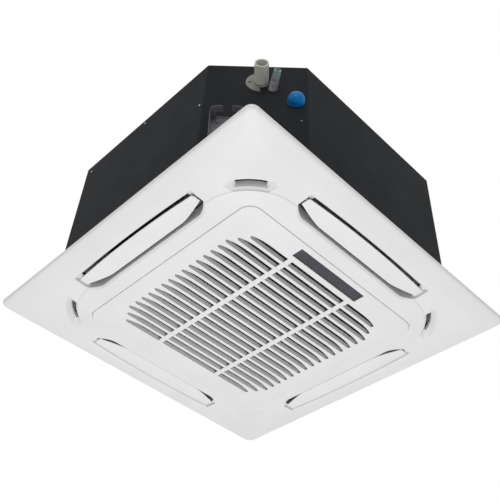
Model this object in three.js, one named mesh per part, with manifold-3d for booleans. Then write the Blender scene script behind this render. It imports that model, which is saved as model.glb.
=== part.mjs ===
// Ceiling cassette air conditioner: a square decoration panel with a domed face, four bowed air
// outlets, four corner outlets and a hinged louvred intake grille, below an octagonal sheet-steel body
// that holds the turbo fan, the wrap-round coil, the drain pan and the pipe connections.
// Millimetres, +Z up. The origin is the centre of the ceiling plane, on which the panel's rim bears.
// Azimuth 225 degrees, between -X and -Y, is the pipe corner. The display is on the -Y side.

import * as THREE from 'three';
import { mergeVertices } from 'three/addons/utils/BufferGeometryUtils.js';
import Module from 'manifold-3d';

const wasm = await Module();
wasm.setup();

// ---------------------------------------------------------------- driving dimensions

const GAP = 0.3; // clearance between pieces that seat on each other
const FLATNESS = 0.02; // facets closer than this to one plane are merged
const QUARTER = Math.PI / 2;

const PANEL_HALF = 475;
const RIM_CORNER = 20;
const SKIN = 3;
const COLLAR_TOP = 5; // top of the panel's duct collars, above the ceiling plane

const OPENING_HALF = 305.6; // intake opening in the panel
const OPENING_CORNER = 36.6;
const OPENING_WALL_TOP = -6;
const ISLAND_HALF = 363; // raised contour round the intake
const ISLAND_CORNER = 143;

const OUTLET = { half: 220, outerEnd: 411, outerMid: 417, corner: 370, inner: 347, shoulder: 176 };
const BOW_STEPS = 3; // chords along each curve of an outlet
const COLLAR_WALL = 2.5;
const LOUVER = { half: 212, outerEnd: 398, outerMid: 405, corner: 377, inner: 357, shoulder: 128, round: 9 };
const LOUVER_AXIS = { reach: 384, height: -12 };
const LOUVER_BOTTOM = -25;
const LOUVER_THICK = 3.4;
const LOUVER_PIN = 3;
const PIN_HOLE = 3.5;

const CORNER_OUTLET = { inner: 147, outer: 176, duct: 169, halfAngle: 0.23 };

const GRILLE_HALF = 304;
const GRILLE_CORNER = 35;
const GRILLE_FACE = -40;
const GRILLE_TOP = -25;
const SLAT_ROWS = 19;
const SLAT_PITCH = 25.75;
const SLOT_HALF_WIDTH = 8.5;
const SLOT_HALF_LENGTH = 258;
const SLOT_SHORTER = [31, 15]; // the two end rows at each side are shorter
const SLOT_TAPER = 62;
const WEB_THICK = 1.8;
const WEB_TOP = -29;
const WEB_OVERRUN = 16; // the webs run on past the slots' ends
const CROSSBAR_X = 104;
const CROSSBAR_WIDTH = 14;
const DISPLAY = { halfLength: 115, near: -288, far: -256 };

const BODY_HALF = 438;
const CORNER_CUT = 179;
const CORNER_REACH = (2 * BODY_HALF - CORNER_CUT) / Math.SQRT2; // centre to the corner faces
const BODY_BOTTOM = 12;
const BODY_TOP = 403;
const SHEET = 2;
const FOOT_FLANGE = 10; // inward folds of the casing walls
const HEAD_FLANGE = 12;
const TOP_PLATE_UNDER = 401;

const COIL_MID = 310;
const COIL_THICK = 40;
const COIL_CORNER = 60;
const COIL_END = 215;
const COIL_BOTTOM = 62;
const COIL_TOP = 380;

const PAN_TOP = 86;
const PAN_BOTTOM = BODY_BOTTOM + GAP;
const CHANNEL_FLOOR = 56;
const LINER_TOP = 398.7;
const PLENUM_HALF = 421;
const PLENUM_CORNER = 270;

const FAN_RADIUS = 242;
const FAN_TOP = 303;
const BLADES = 7;
const SHAFT_RADIUS = 6;

const BRACKET_SHIFT = 62.8; // hanger brackets sit off the middle of the corner faces
const BRACKET_HALF = 42.5;
const LUG_HEIGHT = 178.5;
const BRACKET_LUG = { reach: 38, slotHalf: 27, slotNear: 5, slotFar: 20.5, mouthHalf: 10, round: 15 };
const BRACKET_FOOT = 62;
const WING_FOOT = 100;
const BRACKET_SHEET = 2.5;

// Pipe corner: sideways place on the face (towards -Y) and height of each connection
const DRAIN = { side: 11.4, height: 330, outer: 18, bore: 14, flange: 39.5, length: 58 };
const FLANGE_BITE = { side: 18, below: 36, radius: 22 }; // the drain flange's cut-out, from the pipe's axis
const VENT = { side: 41, height: 308, tipSide: 51, tipHeight: 317, base: 11.5, tip: 9, length: 48 };
const GAS = { side: 97.5, height: 252, pipe: 8, nut: 15, cap: 22, capLength: 25 };
const LIQUID = { side: 52, height: 118, pipe: 4.8, nut: 10, cap: 14, capLength: 18 };

const PIPE_CORNER = Math.PI * 1.25;

// ---------------------------------------------------------------- materials

const finish = (color, roughness, metalness = 0) =>
  new THREE.MeshStandardMaterial({ color, roughness, metalness });

const whitePlastic = finish(0xe7e7e8, 0.42);
const charcoalSteel = finish(0x2b2d30, 0.5, 0.3);
const greySteel = finish(0x55565a, 0.45, 0.6);
const galvanised = finish(0xa9adb0, 0.4, 0.9);
const foam = finish(0xd9d9d6, 0.9);
const darkFoam = finish(0x2a2a2c, 0.95);
const blackPlastic = finish(0x1c1d20, 0.5);
const greyPlastic = finish(0x6f7276, 0.55);
const fanPlastic = finish(0x3d4045, 0.5);
const displayPlastic = finish(0x44454d, 0.2);
const pipePlastic = finish(0xa3a497, 0.45);
const clearPlastic = finish(0x8b8590, 0.2);
const greenPlastic = finish(0x6f8f86, 0.3);
const bluePlastic = finish(0x0b66b0, 0.35);
const copper = finish(0xb56a45, 0.35, 1);
const brass = finish(0xb89b52, 0.35, 1);
const finAluminium = finish(0xc2c6c8, 0.45, 0.9);
const motorSteel = finish(0x8b8e91, 0.4, 0.8);
const boardGreen = finish(0x2f6b46, 0.6);
const filterMesh = finish(0x3a3c40, 0.8);
const rubber = finish(0x202124, 0.85);

// ---------------------------------------------------------------- solids and booleans

function signedVolume(position, index) {
  const a = new THREE.Vector3();
  const b = new THREE.Vector3();
  const c = new THREE.Vector3();
  let total = 0;
  for (let i = 0; i < index.count; i += 3) {
    a.fromBufferAttribute(position, index.getX(i));
    b.fromBufferAttribute(position, index.getX(i + 1));
    c.fromBufferAttribute(position, index.getX(i + 2));
    total += a.dot(b.cross(c));
  }
  return total / 6;
}

// A closed geometry as a solid, with its faces turned outwards
function solid(geometry) {
  const bare = geometry.clone();
  bare.deleteAttribute('normal');
  bare.deleteAttribute('uv');
  const merged = mergeVertices(bare, 1e-3);
  const triangles = Uint32Array.from(merged.index.array);
  if (signedVolume(merged.attributes.position, merged.index) < 0) {
    for (let i = 0; i < triangles.length; i += 3) {
      [triangles[i], triangles[i + 1]] = [triangles[i + 1], triangles[i]];
    }
  }
  const vertices = Float32Array.from(merged.attributes.position.array);
  return new wasm.Manifold(new wasm.Mesh({ numProp: 3, vertProperties: vertices, triVerts: triangles }));
}

const join = (...solids) => solids.reduce((sum, next) => sum.add(next));
const cut = (base, ...tools) => tools.reduce((rest, tool) => rest.subtract(tool), base);

function geometryOf(body) {
  const mesh = body.asOriginal().simplify(FLATNESS).getMesh();
  const geometry = new THREE.BufferGeometry();
  geometry.setAttribute('position', new THREE.BufferAttribute(mesh.vertProperties, 3));
  geometry.setIndex(new THREE.BufferAttribute(mesh.triVerts, 1));
  geometry.computeVertexNormals();
  return geometry;
}

const point = (x, y) => new THREE.Vector2(x, y);
const space = (x, y, z) => new THREE.Vector3(x, y, z);
const repeat = (count, make) => Array.from({ length: count }, (_, i) => make(i));

function prism(outline, low, high, curveSegments = 4) {
  const shape = Array.isArray(outline) ? new THREE.Shape(outline) : outline;
  const geometry = new THREE.ExtrudeGeometry(shape, {
    depth: high - low,
    bevelEnabled: false,
    curveSegments,
  });
  return solid(geometry.translate(0, 0, low));
}

function block(x0, x1, y0, y1, z0, z1) {
  const geometry = new THREE.BoxGeometry(x1 - x0, y1 - y0, z1 - z0);
  return solid(geometry.translate((x0 + x1) / 2, (y0 + y1) / 2, (z0 + z1) / 2));
}

// Turned about +Z: the profile is a list of [radius, height]
function turned(profile, segments = 24) {
  const points = profile.map(([radius, height]) => point(radius, height));
  if (points[0].x > 0) points.push(points[0].clone());
  return solid(new THREE.LatheGeometry(points, segments).rotateX(QUARTER));
}

// Turned about a line along +X through (side, height): the profile is a list of [radius, reach]
function turnedAlongX(profile, side, height, segments = 16) {
  const points = profile.map(([radius, reach]) => point(radius, reach));
  if (points[0].x > 0) points.push(points[0].clone());
  const geometry = new THREE.LatheGeometry(points, segments).rotateZ(-QUARTER);
  return solid(geometry.translate(0, side, height));
}

// A straight rod between two points, with a radius at each end
function rod(from, to, radius, endRadius = radius, segments = 10) {
  const along = to.clone().sub(from);
  const geometry = new THREE.CylinderGeometry(endRadius, radius, along.length(), segments);
  const turn = new THREE.Quaternion().setFromUnitVectors(space(0, 1, 0), along.clone().normalize());
  geometry.applyQuaternion(turn);
  const middle = from.clone().add(to).multiplyScalar(0.5);
  return solid(geometry.translate(middle.x, middle.y, middle.z));
}

// A bent tube along a smooth curve through the points
function tube(points, radius, steps, sides = 5) {
  const section = repeat(sides, (i) => {
    const angle = (i / sides) * 2 * Math.PI;
    return point(radius * Math.cos(angle), radius * Math.sin(angle));
  });
  const extrudePath = new THREE.CatmullRomCurve3(points);
  return solid(new THREE.ExtrudeGeometry(new THREE.Shape(section), { steps, extrudePath }));
}

// Outlines of equal length at rising heights, skinned and capped
function loft(sections, heights) {
  const clockwise = THREE.ShapeUtils.isClockWise(sections[0]);
  const outlines = clockwise ? sections.map((outline) => [...outline].reverse()) : sections;
  const count = outlines[0].length;
  const positions = outlines.flatMap((outline, k) => outline.flatMap((p) => [p.x, p.y, heights[k]]));
  const last = (outlines.length - 1) * count;
  const index = [];
  for (let k = 0; k < outlines.length - 1; k++) {
    for (let i = 0; i < count; i++) {
      const a = k * count + i;
      const b = k * count + ((i + 1) % count);
      index.push(a, b, b + count, a, b + count, a + count);
    }
  }
  const lowCap = THREE.ShapeUtils.triangulateShape(outlines[0], []);
  const highCap = THREE.ShapeUtils.triangulateShape(outlines[outlines.length - 1], []);
  lowCap.forEach(([a, b, c]) => index.push(c, b, a));
  highCap.forEach(([a, b, c]) => index.push(a + last, b + last, c + last));
  return indexed(positions, index);
}

function indexed(positions, index) {
  const geometry = new THREE.BufferGeometry();
  geometry.setAttribute('position', new THREE.Float32BufferAttribute(positions, 3));
  geometry.setIndex(index);
  return solid(geometry);
}

function roundedSquare(half, radius, steps = 5) {
  const centre = half - radius;
  return repeat(4, (corner) =>
    repeat(steps + 1, (i) => {
      const angle = (i / steps) * QUARTER;
      const p = point(centre + radius * Math.cos(angle), centre + radius * Math.sin(angle));
      return p.rotateAround(point(0, 0), corner * QUARTER);
    }),
  ).flat();
}

// A closed section carried round rounded squares: each entry is [half width, corner radius, height]
function squareRing(section, steps = 5) {
  const rings = section.map(([half, radius]) => roundedSquare(half, radius, steps));
  const count = rings[0].length;
  const positions = rings.flatMap((ring, k) => ring.flatMap((p) => [p.x, p.y, section[k][2]]));
  const index = [];
  for (let k = 0; k < rings.length; k++) {
    const next = (k + 1) % rings.length;
    for (let i = 0; i < count; i++) {
      const j = (i + 1) % count;
      index.push(k * count + i, k * count + j, next * count + j);
      index.push(k * count + i, next * count + j, next * count + i);
    }
  }
  return indexed(positions, index);
}

const turnedAbout = (body, angle) => body.rotate([0, 0, THREE.MathUtils.radToDeg(angle)]);
const onFourSides = (body) => repeat(4, (k) => turnedAbout(body, k * QUARTER));

// ---------------------------------------------------------------- scene graph

const unit = new THREE.Group();
unit.name = 'ceiling_cassette';

// Adds a node, turned about the vertical through the origin
function place(name, body, material, angle = 0, parent = unit) {
  const mesh = new THREE.Mesh(geometryOf(body), material);
  mesh.name = name;
  mesh.rotation.z = angle;
  parent.add(mesh);
}

const SIDES = ['front', 'right', 'back', 'left']; // -Y, +X, +Y, -X

// ---------------------------------------------------------------- body: octagonal casing

function octagon(inset) {
  const half = BODY_HALF - inset;
  const end = Math.SQRT2 * (CORNER_REACH - inset) - half;
  return repeat(4, (k) =>
    [point(half, -end), point(half, end)].map((p) => p.rotateAround(point(0, 0), k * QUARTER)),
  ).flat();
}

// Plan of one wall of the octagon between two insets, with mitred ends
function wallPlan(index, inset) {
  const outer = octagon(0);
  const inner = octagon(inset);
  const next = (index + 1) % 8;
  const trim = outer[next].clone().sub(outer[index]).setLength(GAP / 2);
  return [
    outer[index].clone().add(trim),
    outer[next].clone().sub(trim),
    inner[next].clone().sub(trim),
    inner[index].clone().add(trim),
  ];
}

function casingWall(index) {
  const under = TOP_PLATE_UNDER - GAP;
  return join(
    prism(wallPlan(index, SHEET), BODY_BOTTOM, under),
    prism(wallPlan(index, FOOT_FLANGE), BODY_BOTTOM, BODY_BOTTOM + SHEET),
    prism(wallPlan(index, HEAD_FLANGE), under - SHEET, under),
  );
}

// Clearance holes for the four connections, in the pipe corner's own frame: +X out of the face
function connectionHoles(from, to, slack) {
  const hole = (radius, side, height) =>
    rod(space(from, side, height), space(to, side, height), radius + slack, radius + slack, 12);
  return [
    hole(DRAIN.outer, DRAIN.side, DRAIN.height),
    hole(VENT.base + 1, VENT.side, VENT.height),
    hole(GAS.pipe, GAS.side, GAS.height),
    hole(LIQUID.pipe, LIQUID.side, LIQUID.height),
  ].map((tool) => turnedAbout(tool, PIPE_CORNER));
}

const GROMMET = { x: -150, height: 150, radius: 14 };
const grommetAxis = (from, to, radius) =>
  rod(space(GROMMET.x, from, GROMMET.height), space(GROMMET.x, to, GROMMET.height), radius, radius, 12);

SIDES.forEach((side, k) => {
  const wall = casingWall((6 + 2 * k) % 8);
  const open = side === 'back' ? cut(wall, grommetAxis(430, 445, GROMMET.radius + GAP)) : wall;
  place(`side_panel_${side}`, open, charcoalSteel);
});

const CORNERS = ['front_left', 'front_right', 'back_right', 'back_left'];
const cornerAngle = (k) => PIPE_CORNER + k * QUARTER;
const onFourCorners = (body) => repeat(4, (k) => turnedAbout(body, cornerAngle(k)));

CORNERS.forEach((corner, k) => {
  const wall = casingWall((5 + 2 * k) % 8);
  const pierced = k === 0 ? cut(wall, ...connectionHoles(470, 500, 1)) : wall;
  place(`corner_panel_${corner}`, pierced, charcoalSteel);
});

function grommet() {
  const flange = grommetAxis(BODY_HALF + GAP, BODY_HALF + 3, GROMMET.radius + 5);
  const neck = grommetAxis(BODY_HALF - 6, BODY_HALF + 1, GROMMET.radius);
  return cut(join(flange, neck), grommetAxis(400, 450, 7));
}
place('cable_grommet', grommet(), rubber);

// Top plate with stamped stiffening channels: radial ones and a ring round the motor
function topPlate() {
  const channel = (grow) => {
    const half = 7 + grow;
    const shape = new THREE.Shape();
    shape.moveTo(150 - grow, -half);
    shape.lineTo(355, -half);
    shape.lineTo(355 + half, 0);
    shape.lineTo(355, half);
    shape.lineTo(150 - grow, half);
    return shape;
  };
  const spokes = (grow, low, high) =>
    repeat(8, (k) => turnedAbout(prism(channel(grow), low, high), (k * Math.PI) / 4));
  const ring = (grow, low, high) =>
    turned([[112 - grow, low], [126 + grow, low], [126 + grow, high], [112 - grow, high]]);
  const pressed = join(
    prism(octagon(0), TOP_PLATE_UNDER, BODY_TOP),
    ...spokes(1.6, TOP_PLATE_UNDER - 2.2, BODY_TOP - 1),
    ring(1.6, TOP_PLATE_UNDER - 2.2, BODY_TOP - 1),
  );
  return cut(pressed, ...spokes(0, BODY_TOP - 2.6, BODY_TOP + 1), ring(0, BODY_TOP - 2.6, BODY_TOP + 1));
}
place('top_plate', topPlate(), charcoalSteel);

// ---------------------------------------------------------------- body: hanger brackets

// Lug outline in the corner's frame: +X out of the face, +Y along it, with a T-shaped open slot
function lugShape() {
  const { reach, slotHalf, slotNear, slotFar, mouthHalf, round } = BRACKET_LUG;
  const shape = new THREE.Shape();
  shape.moveTo(0, -BRACKET_HALF);
  shape.lineTo(reach - round, -BRACKET_HALF);
  shape.quadraticCurveTo(reach, -BRACKET_HALF, reach, round - BRACKET_HALF);
  shape.lineTo(reach, -mouthHalf - 4);
  shape.quadraticCurveTo(reach, -mouthHalf, reach - 4, -mouthHalf);
  shape.lineTo(slotFar, -mouthHalf);
  shape.lineTo(slotFar, 4 - slotHalf);
  shape.quadraticCurveTo(slotFar, -slotHalf, slotFar - 4, -slotHalf);
  shape.lineTo(slotNear, -slotHalf);
  shape.lineTo(slotNear, slotHalf);
  shape.lineTo(slotFar - 4, slotHalf);
  shape.quadraticCurveTo(slotFar, slotHalf, slotFar, slotHalf - 4);
  shape.lineTo(slotFar, mouthHalf);
  shape.lineTo(reach - 4, mouthHalf);
  shape.quadraticCurveTo(reach, mouthHalf, reach, mouthHalf + 4);
  shape.lineTo(reach, BRACKET_HALF - round);
  shape.quadraticCurveTo(reach, BRACKET_HALF, reach - round, BRACKET_HALF);
  shape.lineTo(0, BRACKET_HALF);
  return shape;
}

function hangerBracket(shift) {
  const { reach, round } = BRACKET_LUG;
  const wingProfile = [
    point(0, WING_FOOT),
    point(BRACKET_SHEET, WING_FOOT),
    point(reach - round, LUG_HEIGHT),
    point(0, LUG_HEIGHT),
  ];
  const wing = (y) =>
    solid(
      new THREE.ExtrudeGeometry(new THREE.Shape(wingProfile), { depth: BRACKET_SHEET, bevelEnabled: false })
        .rotateX(QUARTER)
        .translate(0, y + BRACKET_SHEET, 0),
    );
  const bracket = join(
    prism(lugShape(), LUG_HEIGHT - BRACKET_SHEET, LUG_HEIGHT, 2),
    block(0, BRACKET_SHEET, -BRACKET_HALF, BRACKET_HALF, BRACKET_FOOT, LUG_HEIGHT),
    wing(-BRACKET_HALF),
    wing(BRACKET_HALF - BRACKET_SHEET),
  );
  return bracket.translate([CORNER_REACH + GAP, shift, 0]);
}

CORNERS.forEach((corner, k) => {
  const shift = corner.endsWith('left') ? -BRACKET_SHIFT : BRACKET_SHIFT;
  place(`hanger_bracket_${corner}`, hangerBracket(shift), greySteel, cornerAngle(k));
});

// ---------------------------------------------------------------- body: insulation and drain pan

const plenumPlan = (shrink) => roundedSquare(PLENUM_HALF - shrink, PLENUM_CORNER - shrink, 6);

function foamLiner() {
  const ring = cut(
    prism(octagon(SHEET + GAP), PAN_TOP + GAP, LINER_TOP),
    prism(plenumPlan(0), PAN_TOP - 1, LINER_TOP + 1),
  );
  return cut(ring, ...connectionHoles(440, 500, 2), grommetAxis(400, 440, GROMMET.radius + 2));
}
place('foam_liner', foamLiner(), foam);

function topInsulation() {
  const low = COIL_TOP + 4;
  const motorSpace = turned([[0, low - 1], [132, low - 1], [132, LINER_TOP + 1], [0, LINER_TOP + 1]], 20);
  return cut(prism(plenumPlan(GAP), low, LINER_TOP), motorSpace);
}
place('top_insulation', topInsulation(), foam);

function outletShape(grow, size = OUTLET) {
  const end = size.half + grow;
  const outerEnd = size.outerEnd + grow;
  const inner = size.inner - grow;
  const round = size.round ?? 0;
  const shape = new THREE.Shape();
  shape.moveTo(-end, round - outerEnd);
  if (round) shape.quadraticCurveTo(-end, -outerEnd, round - end, -outerEnd);
  shape.quadraticCurveTo(0, outerEnd - 2 * (size.outerMid + grow), end - round, -outerEnd);
  if (round) shape.quadraticCurveTo(end, -outerEnd, end, round - outerEnd);
  shape.lineTo(end, grow - size.corner);
  shape.quadraticCurveTo(size.shoulder + 20 + grow, -inner, size.shoulder, -inner);
  shape.lineTo(-size.shoulder, -inner);
  shape.quadraticCurveTo(-size.shoulder - 20 - grow, -inner, -end, grow - size.corner);
  return shape;
}

const outletPrism = (grow, low, high) => prism(outletShape(grow), low, high, BOW_STEPS);

// Sector of the ring round the island's corner, in the corner's frame
function sectorOutline(inner, outer, innerAngle, outerAngle, steps = 3) {
  const centre = (ISLAND_HALF - ISLAND_CORNER) * Math.SQRT2;
  const arc = (radius, half) =>
    repeat(steps + 1, (i) => {
      const angle = half * ((2 * i) / steps - 1);
      return point(centre + radius * Math.cos(angle), radius * Math.sin(angle));
    });
  return [...arc(outer, outerAngle), ...arc(inner, innerAngle).reverse()];
}

// Air ducts through the pan and the seal: one to each side outlet and one to each corner outlet
function airDucts(high) {
  const { inner, duct, halfAngle } = CORNER_OUTLET;
  const corner = prism(sectorOutline(inner, duct, halfAngle, halfAngle), 0, high);
  return [...onFourSides(outletPrism(0, 0, high)), ...onFourCorners(corner)];
}

const CONTROL_BOX = { half: 150, near: 238, far: 296, low: -16, high: 46 };

// Moulded pan: air ducts at the sides, round fan opening, drip channel below the coil
function drainPan() {
  const full = join(
    prism(octagon(SHEET + GAP), BODY_BOTTOM + SHEET + GAP, PAN_TOP),
    prism(octagon(FOOT_FLANGE + 2 * GAP), PAN_BOTTOM, PAN_TOP - 2),
  );
  const channel = cut(
    prism(roundedSquare(340, 90), CHANNEL_FLOOR, PAN_TOP + 1),
    prism(roundedSquare(283, 33), CHANNEL_FLOOR - 1, PAN_TOP + 2),
  );
  const fanOpening = turned([[0, 0], [228, 0], [228, PAN_TOP + 1], [0, PAN_TOP + 1]], 28);
  const boxPocket = block(-152, 152, CONTROL_BOX.near - 2, CONTROL_BOX.far + 2, 0, CONTROL_BOX.high + 2);
  return cut(full, channel, fanOpening, boxPocket, ...airDucts(PAN_TOP + 1));
}
place('drain_pan', drainPan(), foam);

function panelSeal() {
  const sheet = prism(octagon(1), COLLAR_TOP + GAP, BODY_BOTTOM - GAP);
  const middle = prism(roundedSquare(322, 50), 0, BODY_BOTTOM + 1);
  return cut(sheet, middle, ...airDucts(BODY_BOTTOM + 1));
}
place('panel_seal', panelSeal(), darkFoam);

// ---------------------------------------------------------------- body: coil and its end plates

// Edge of the coil at an offset from its middle line, open at the pipe corner
function coilEdge(offset) {
  const half = COIL_MID + offset;
  const radius = COIL_CORNER + offset;
  const corners = repeat(3, (corner) =>
    repeat(6, (i) => {
      const angle = (i / 5 - 1) * QUARTER;
      const p = point(half - radius + radius * Math.cos(angle), radius - half + radius * Math.sin(angle));
      return p.rotateAround(point(0, 0), corner * QUARTER);
    }),
  ).flat();
  return [point(-COIL_END, -half), ...corners, point(-half, -COIL_END)];
}

const coilOutline = [...coilEdge(COIL_THICK / 2), ...coilEdge(-COIL_THICK / 2).reverse()];
place('evaporator_coil', prism(coilOutline, COIL_BOTTOM, COIL_TOP), finAluminium);

const BEND_ROWS = 4;
const bendHeight = (i) => 110 + i * 72;

// End plate on the -Y leg of the coil, facing -X, with the hairpin tubes' return bends
function coilEndPlate() {
  const face = -COIL_END - GAP;
  const plate = block(face - 2, face, -COIL_MID - 26, -COIL_MID + 26, COIL_BOTTOM, COIL_TOP + 2);
  const bend = (z) =>
    tube(
      [
        space(face - 1, -COIL_MID - 12, z),
        space(face - 9, -COIL_MID - 11, z),
        space(face - 15, -COIL_MID, z),
        space(face - 9, -COIL_MID + 11, z),
        space(face - 1, -COIL_MID + 12, z),
      ],
      4.8,
      4,
      4,
    );
  return join(plate, ...repeat(BEND_ROWS, (i) => bend(bendHeight(i))));
}

const mirroredEndPlate = coilEndPlate().mirror([1, -1, 0]);
place('coil_end_plate_front', coilEndPlate(), galvanised);
place('coil_end_plate_left', mirroredEndPlate, galvanised);

// ---------------------------------------------------------------- body: pipe corner

const HEADER_REACH = CORNER_REACH - 76;

// Gas header beside the coil's end, with its feeders, and the suction pipe out to the corner face
function gasHeader() {
  const at = (reach, height) => space(reach, GAS.side, height);
  const header = rod(at(HEADER_REACH, 112), at(HEADER_REACH, 362), 9.5);
  const out = rod(at(HEADER_REACH, GAS.height), at(CORNER_REACH + 19, GAS.height), GAS.pipe);
  const feeders = repeat(3, (i) => {
    const z = bendHeight(i) + 36;
    return tube(
      [
        space(HEADER_REACH, GAS.side, z),
        space(HEADER_REACH - 11, GAS.side - 15, z),
        space(HEADER_REACH - 26, GAS.side - 27, z),
        space(HEADER_REACH - 34, GAS.side - 25, z),
      ],
      3.5,
      4,
    );
  });
  return join(header, out, ...feeders);
}

function flareNut(size, from, to) {
  const { side, height, nut, pipe } = size;
  const hexagon = turnedAlongX([[0, from], [nut, from], [nut, to], [0, to]], side, height, 6);
  return cut(hexagon, rod(space(from - 1, side, height), space(to + 1, side, height), pipe + GAP));
}

// Moulded protective cap, closed at the front with a rounded edge
function pipeCap(size) {
  const back = CORNER_REACH + GAP;
  const front = back + size.capLength;
  const profile = [
    [size.nut + 1.5, back],
    [size.cap, back],
    [size.cap, front - 0.4 * size.cap],
    [size.cap * 0.87, front - 0.13 * size.cap],
    [size.cap * 0.55, front],
    [0, front],
    [0, front - 3],
    [size.nut + 1.5, front - 3],
  ];
  return turnedAlongX(profile, size.side, size.height, 14);
}

function drainPipe() {
  const inner = CORNER_REACH - 22;
  const face = CORNER_REACH + GAP;
  const end = face + DRAIN.length;
  const along = (radius, from, to, segments = 16) =>
    turnedAlongX([[0, from], [radius, from], [radius, to], [0, to]], DRAIN.side, DRAIN.height, segments);
  const { side, below, radius } = FLANGE_BITE;
  const biteAt = (x) => space(x, DRAIN.side + side, DRAIN.height - below);
  const bite = rod(biteAt(face - 1), biteAt(face + 4), radius, radius, 16);
  const low = DRAIN.height - DRAIN.flange;
  const high = DRAIN.height + DRAIN.flange;
  const besideVent = block(face - 1, face + 4, DRAIN.side + 20, DRAIN.side + 40, low, high);
  const flange = cut(along(DRAIN.flange, face, face + 3, 20), bite, besideVent);
  return cut(join(flange, along(DRAIN.outer, inner, end)), along(DRAIN.bore, inner - 1, end + 1));
}

// Hollow tapered tube along the vent's own slanted line, between two fractions of its length
function ventPiece(from, to, bore) {
  const at = (share) =>
    space(
      CORNER_REACH + VENT.length * share,
      THREE.MathUtils.lerp(VENT.side, VENT.tipSide, share),
      THREE.MathUtils.lerp(VENT.height, VENT.tipHeight, share),
    );
  const radius = (share) => THREE.MathUtils.lerp(VENT.base, VENT.tip, share);
  const outside = rod(at(from), at(to), radius(from), radius(to), 12);
  return cut(outside, rod(at(from - 0.05), at(to + 0.05), bore, bore, 10));
}

function distributor() {
  const x = CORNER_REACH - 60;
  const pipe = tube(
    [
      space(CORNER_REACH + 13, LIQUID.side, LIQUID.height),
      space(x + 24, LIQUID.side, LIQUID.height),
      space(x + 6, LIQUID.side, LIQUID.height + 6),
      space(x, LIQUID.side, LIQUID.height + 24),
      space(x, LIQUID.side, LIQUID.height + 52),
    ],
    LIQUID.pipe,
    8,
    6,
  );
  const head = rod(space(x, LIQUID.side, 168), space(x, LIQUID.side, 190), 6, 11);
  const capillaries = repeat(3, (i) => {
    const z = bendHeight(i + 1) + 18;
    return tube(
      [
        space(x, LIQUID.side, 188),
        space(x - 8, LIQUID.side + 3, 205 + i * 4),
        space(x - 34, LIQUID.side + 10, z - 8),
        space(x - 50, LIQUID.side + 16, z),
      ],
      2.2,
      4,
      4,
    );
  });
  return join(pipe, head, ...capillaries);
}

const pipeCorner = new THREE.Group();
pipeCorner.rotation.z = PIPE_CORNER;
unit.add(pipeCorner);
const placeAtPipes = (name, body, material) => place(name, body, material, 0, pipeCorner);

placeAtPipes('gas_header', gasHeader(), copper);
placeAtPipes('gas_flare_nut', flareNut(GAS, CORNER_REACH + 1, CORNER_REACH + 17), brass);
placeAtPipes('gas_pipe_cap', pipeCap(GAS), bluePlastic);
placeAtPipes('liquid_distributor', distributor(), copper);
placeAtPipes('liquid_pipe_cap', pipeCap(LIQUID), bluePlastic);
placeAtPipes('drain_outlet_pipe', drainPipe(), pipePlastic);
placeAtPipes('vent_tube', ventPiece(-0.15, 0.72, 7.5), clearPlastic);
placeAtPipes('vent_tube_tip', ventPiece(0.73, 1, 6), greenPlastic);

// ---------------------------------------------------------------- body: drain pump

const PUMP_REACH = 405;

function drainPump() {
  const shell = turned(
    [[0, 60], [9, 60], [9, 88], [33, 92], [33, 140], [24, 146], [24, 184], [20, 188], [0, 188]],
    12,
  ).translate([PUMP_REACH, 0, 0]);
  const outlet = rod(space(PUMP_REACH + 15, 0, 125), space(PUMP_REACH + 42, 0, 125), 9);
  return join(shell, outlet);
}

function drainHose() {
  const end = CORNER_REACH - 22 - GAP;
  return tube(
    [
      space(PUMP_REACH + 42 + GAP, 0, 125),
      space(PUMP_REACH + 50, 0, 125),
      space(PUMP_REACH + 58, 1, 142),
      space(PUMP_REACH + 56, 4, 220),
      space(PUMP_REACH + 44, 9, 300),
      space(PUMP_REACH + 54, DRAIN.side, DRAIN.height),
      space(end, DRAIN.side, DRAIN.height),
    ],
    9,
    16,
    6,
  );
}

function floatSwitch() {
  const ball = [[3, 70], [11, 72], [11, 86], [3, 88]];
  const head = [[3, 150], [9, 152], [9, 176], [0, 176]];
  return turned([[0, 62], [3, 62], ...ball, ...head], 10).translate([400, -38, 0]);
}

placeAtPipes('drain_pump', drainPump(), greyPlastic);
placeAtPipes('drain_hose', drainHose(), rubber);
placeAtPipes('float_switch', floatSwitch(), whitePlastic);

// ---------------------------------------------------------------- body: motor, fan and bell mouth

const MOTOR = { low: 240, high: 386, radius: 62, flange: 84, flangeLow: 352, flangeHigh: 358, socket: 24 };

// Motor can with its fixing flange, and the socket that the shaft comes out of
function fanMotor() {
  const { low, high, radius, flange, flangeLow, flangeHigh, socket } = MOTOR;
  const can = turned(
    [
      [0, low],
      [radius - 4, low],
      [radius, low + 5],
      [radius, flangeLow],
      [flange, flangeLow],
      [flange, flangeHigh],
      [radius, flangeHigh],
      [radius - 6, high],
      [0, high],
    ],
    20,
  );
  return cut(can, rod(space(0, 0, low - 1), space(0, 0, low + socket), SHAFT_RADIUS + 1));
}

// Spider that hangs the motor from the top plate
function motorMount() {
  const low = MOTOR.flangeHigh + GAP;
  const high = low + 3;
  const hub = turned([[70, low], [96, low], [96, high], [70, high]], 20);
  const arm = block(88, 120, -11, 11, low, high);
  const leg = block(117, 120, -11, 11, low, TOP_PLATE_UNDER - 2.5);
  return join(hub, ...onFourSides(join(arm, leg)));
}

place('fan_motor', fanMotor(), motorSteel);
place('motor_mount', motorMount(), galvanised);

const bladeTurn = -0.72; // sweep from the leading to the trailing edge, radians

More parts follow.
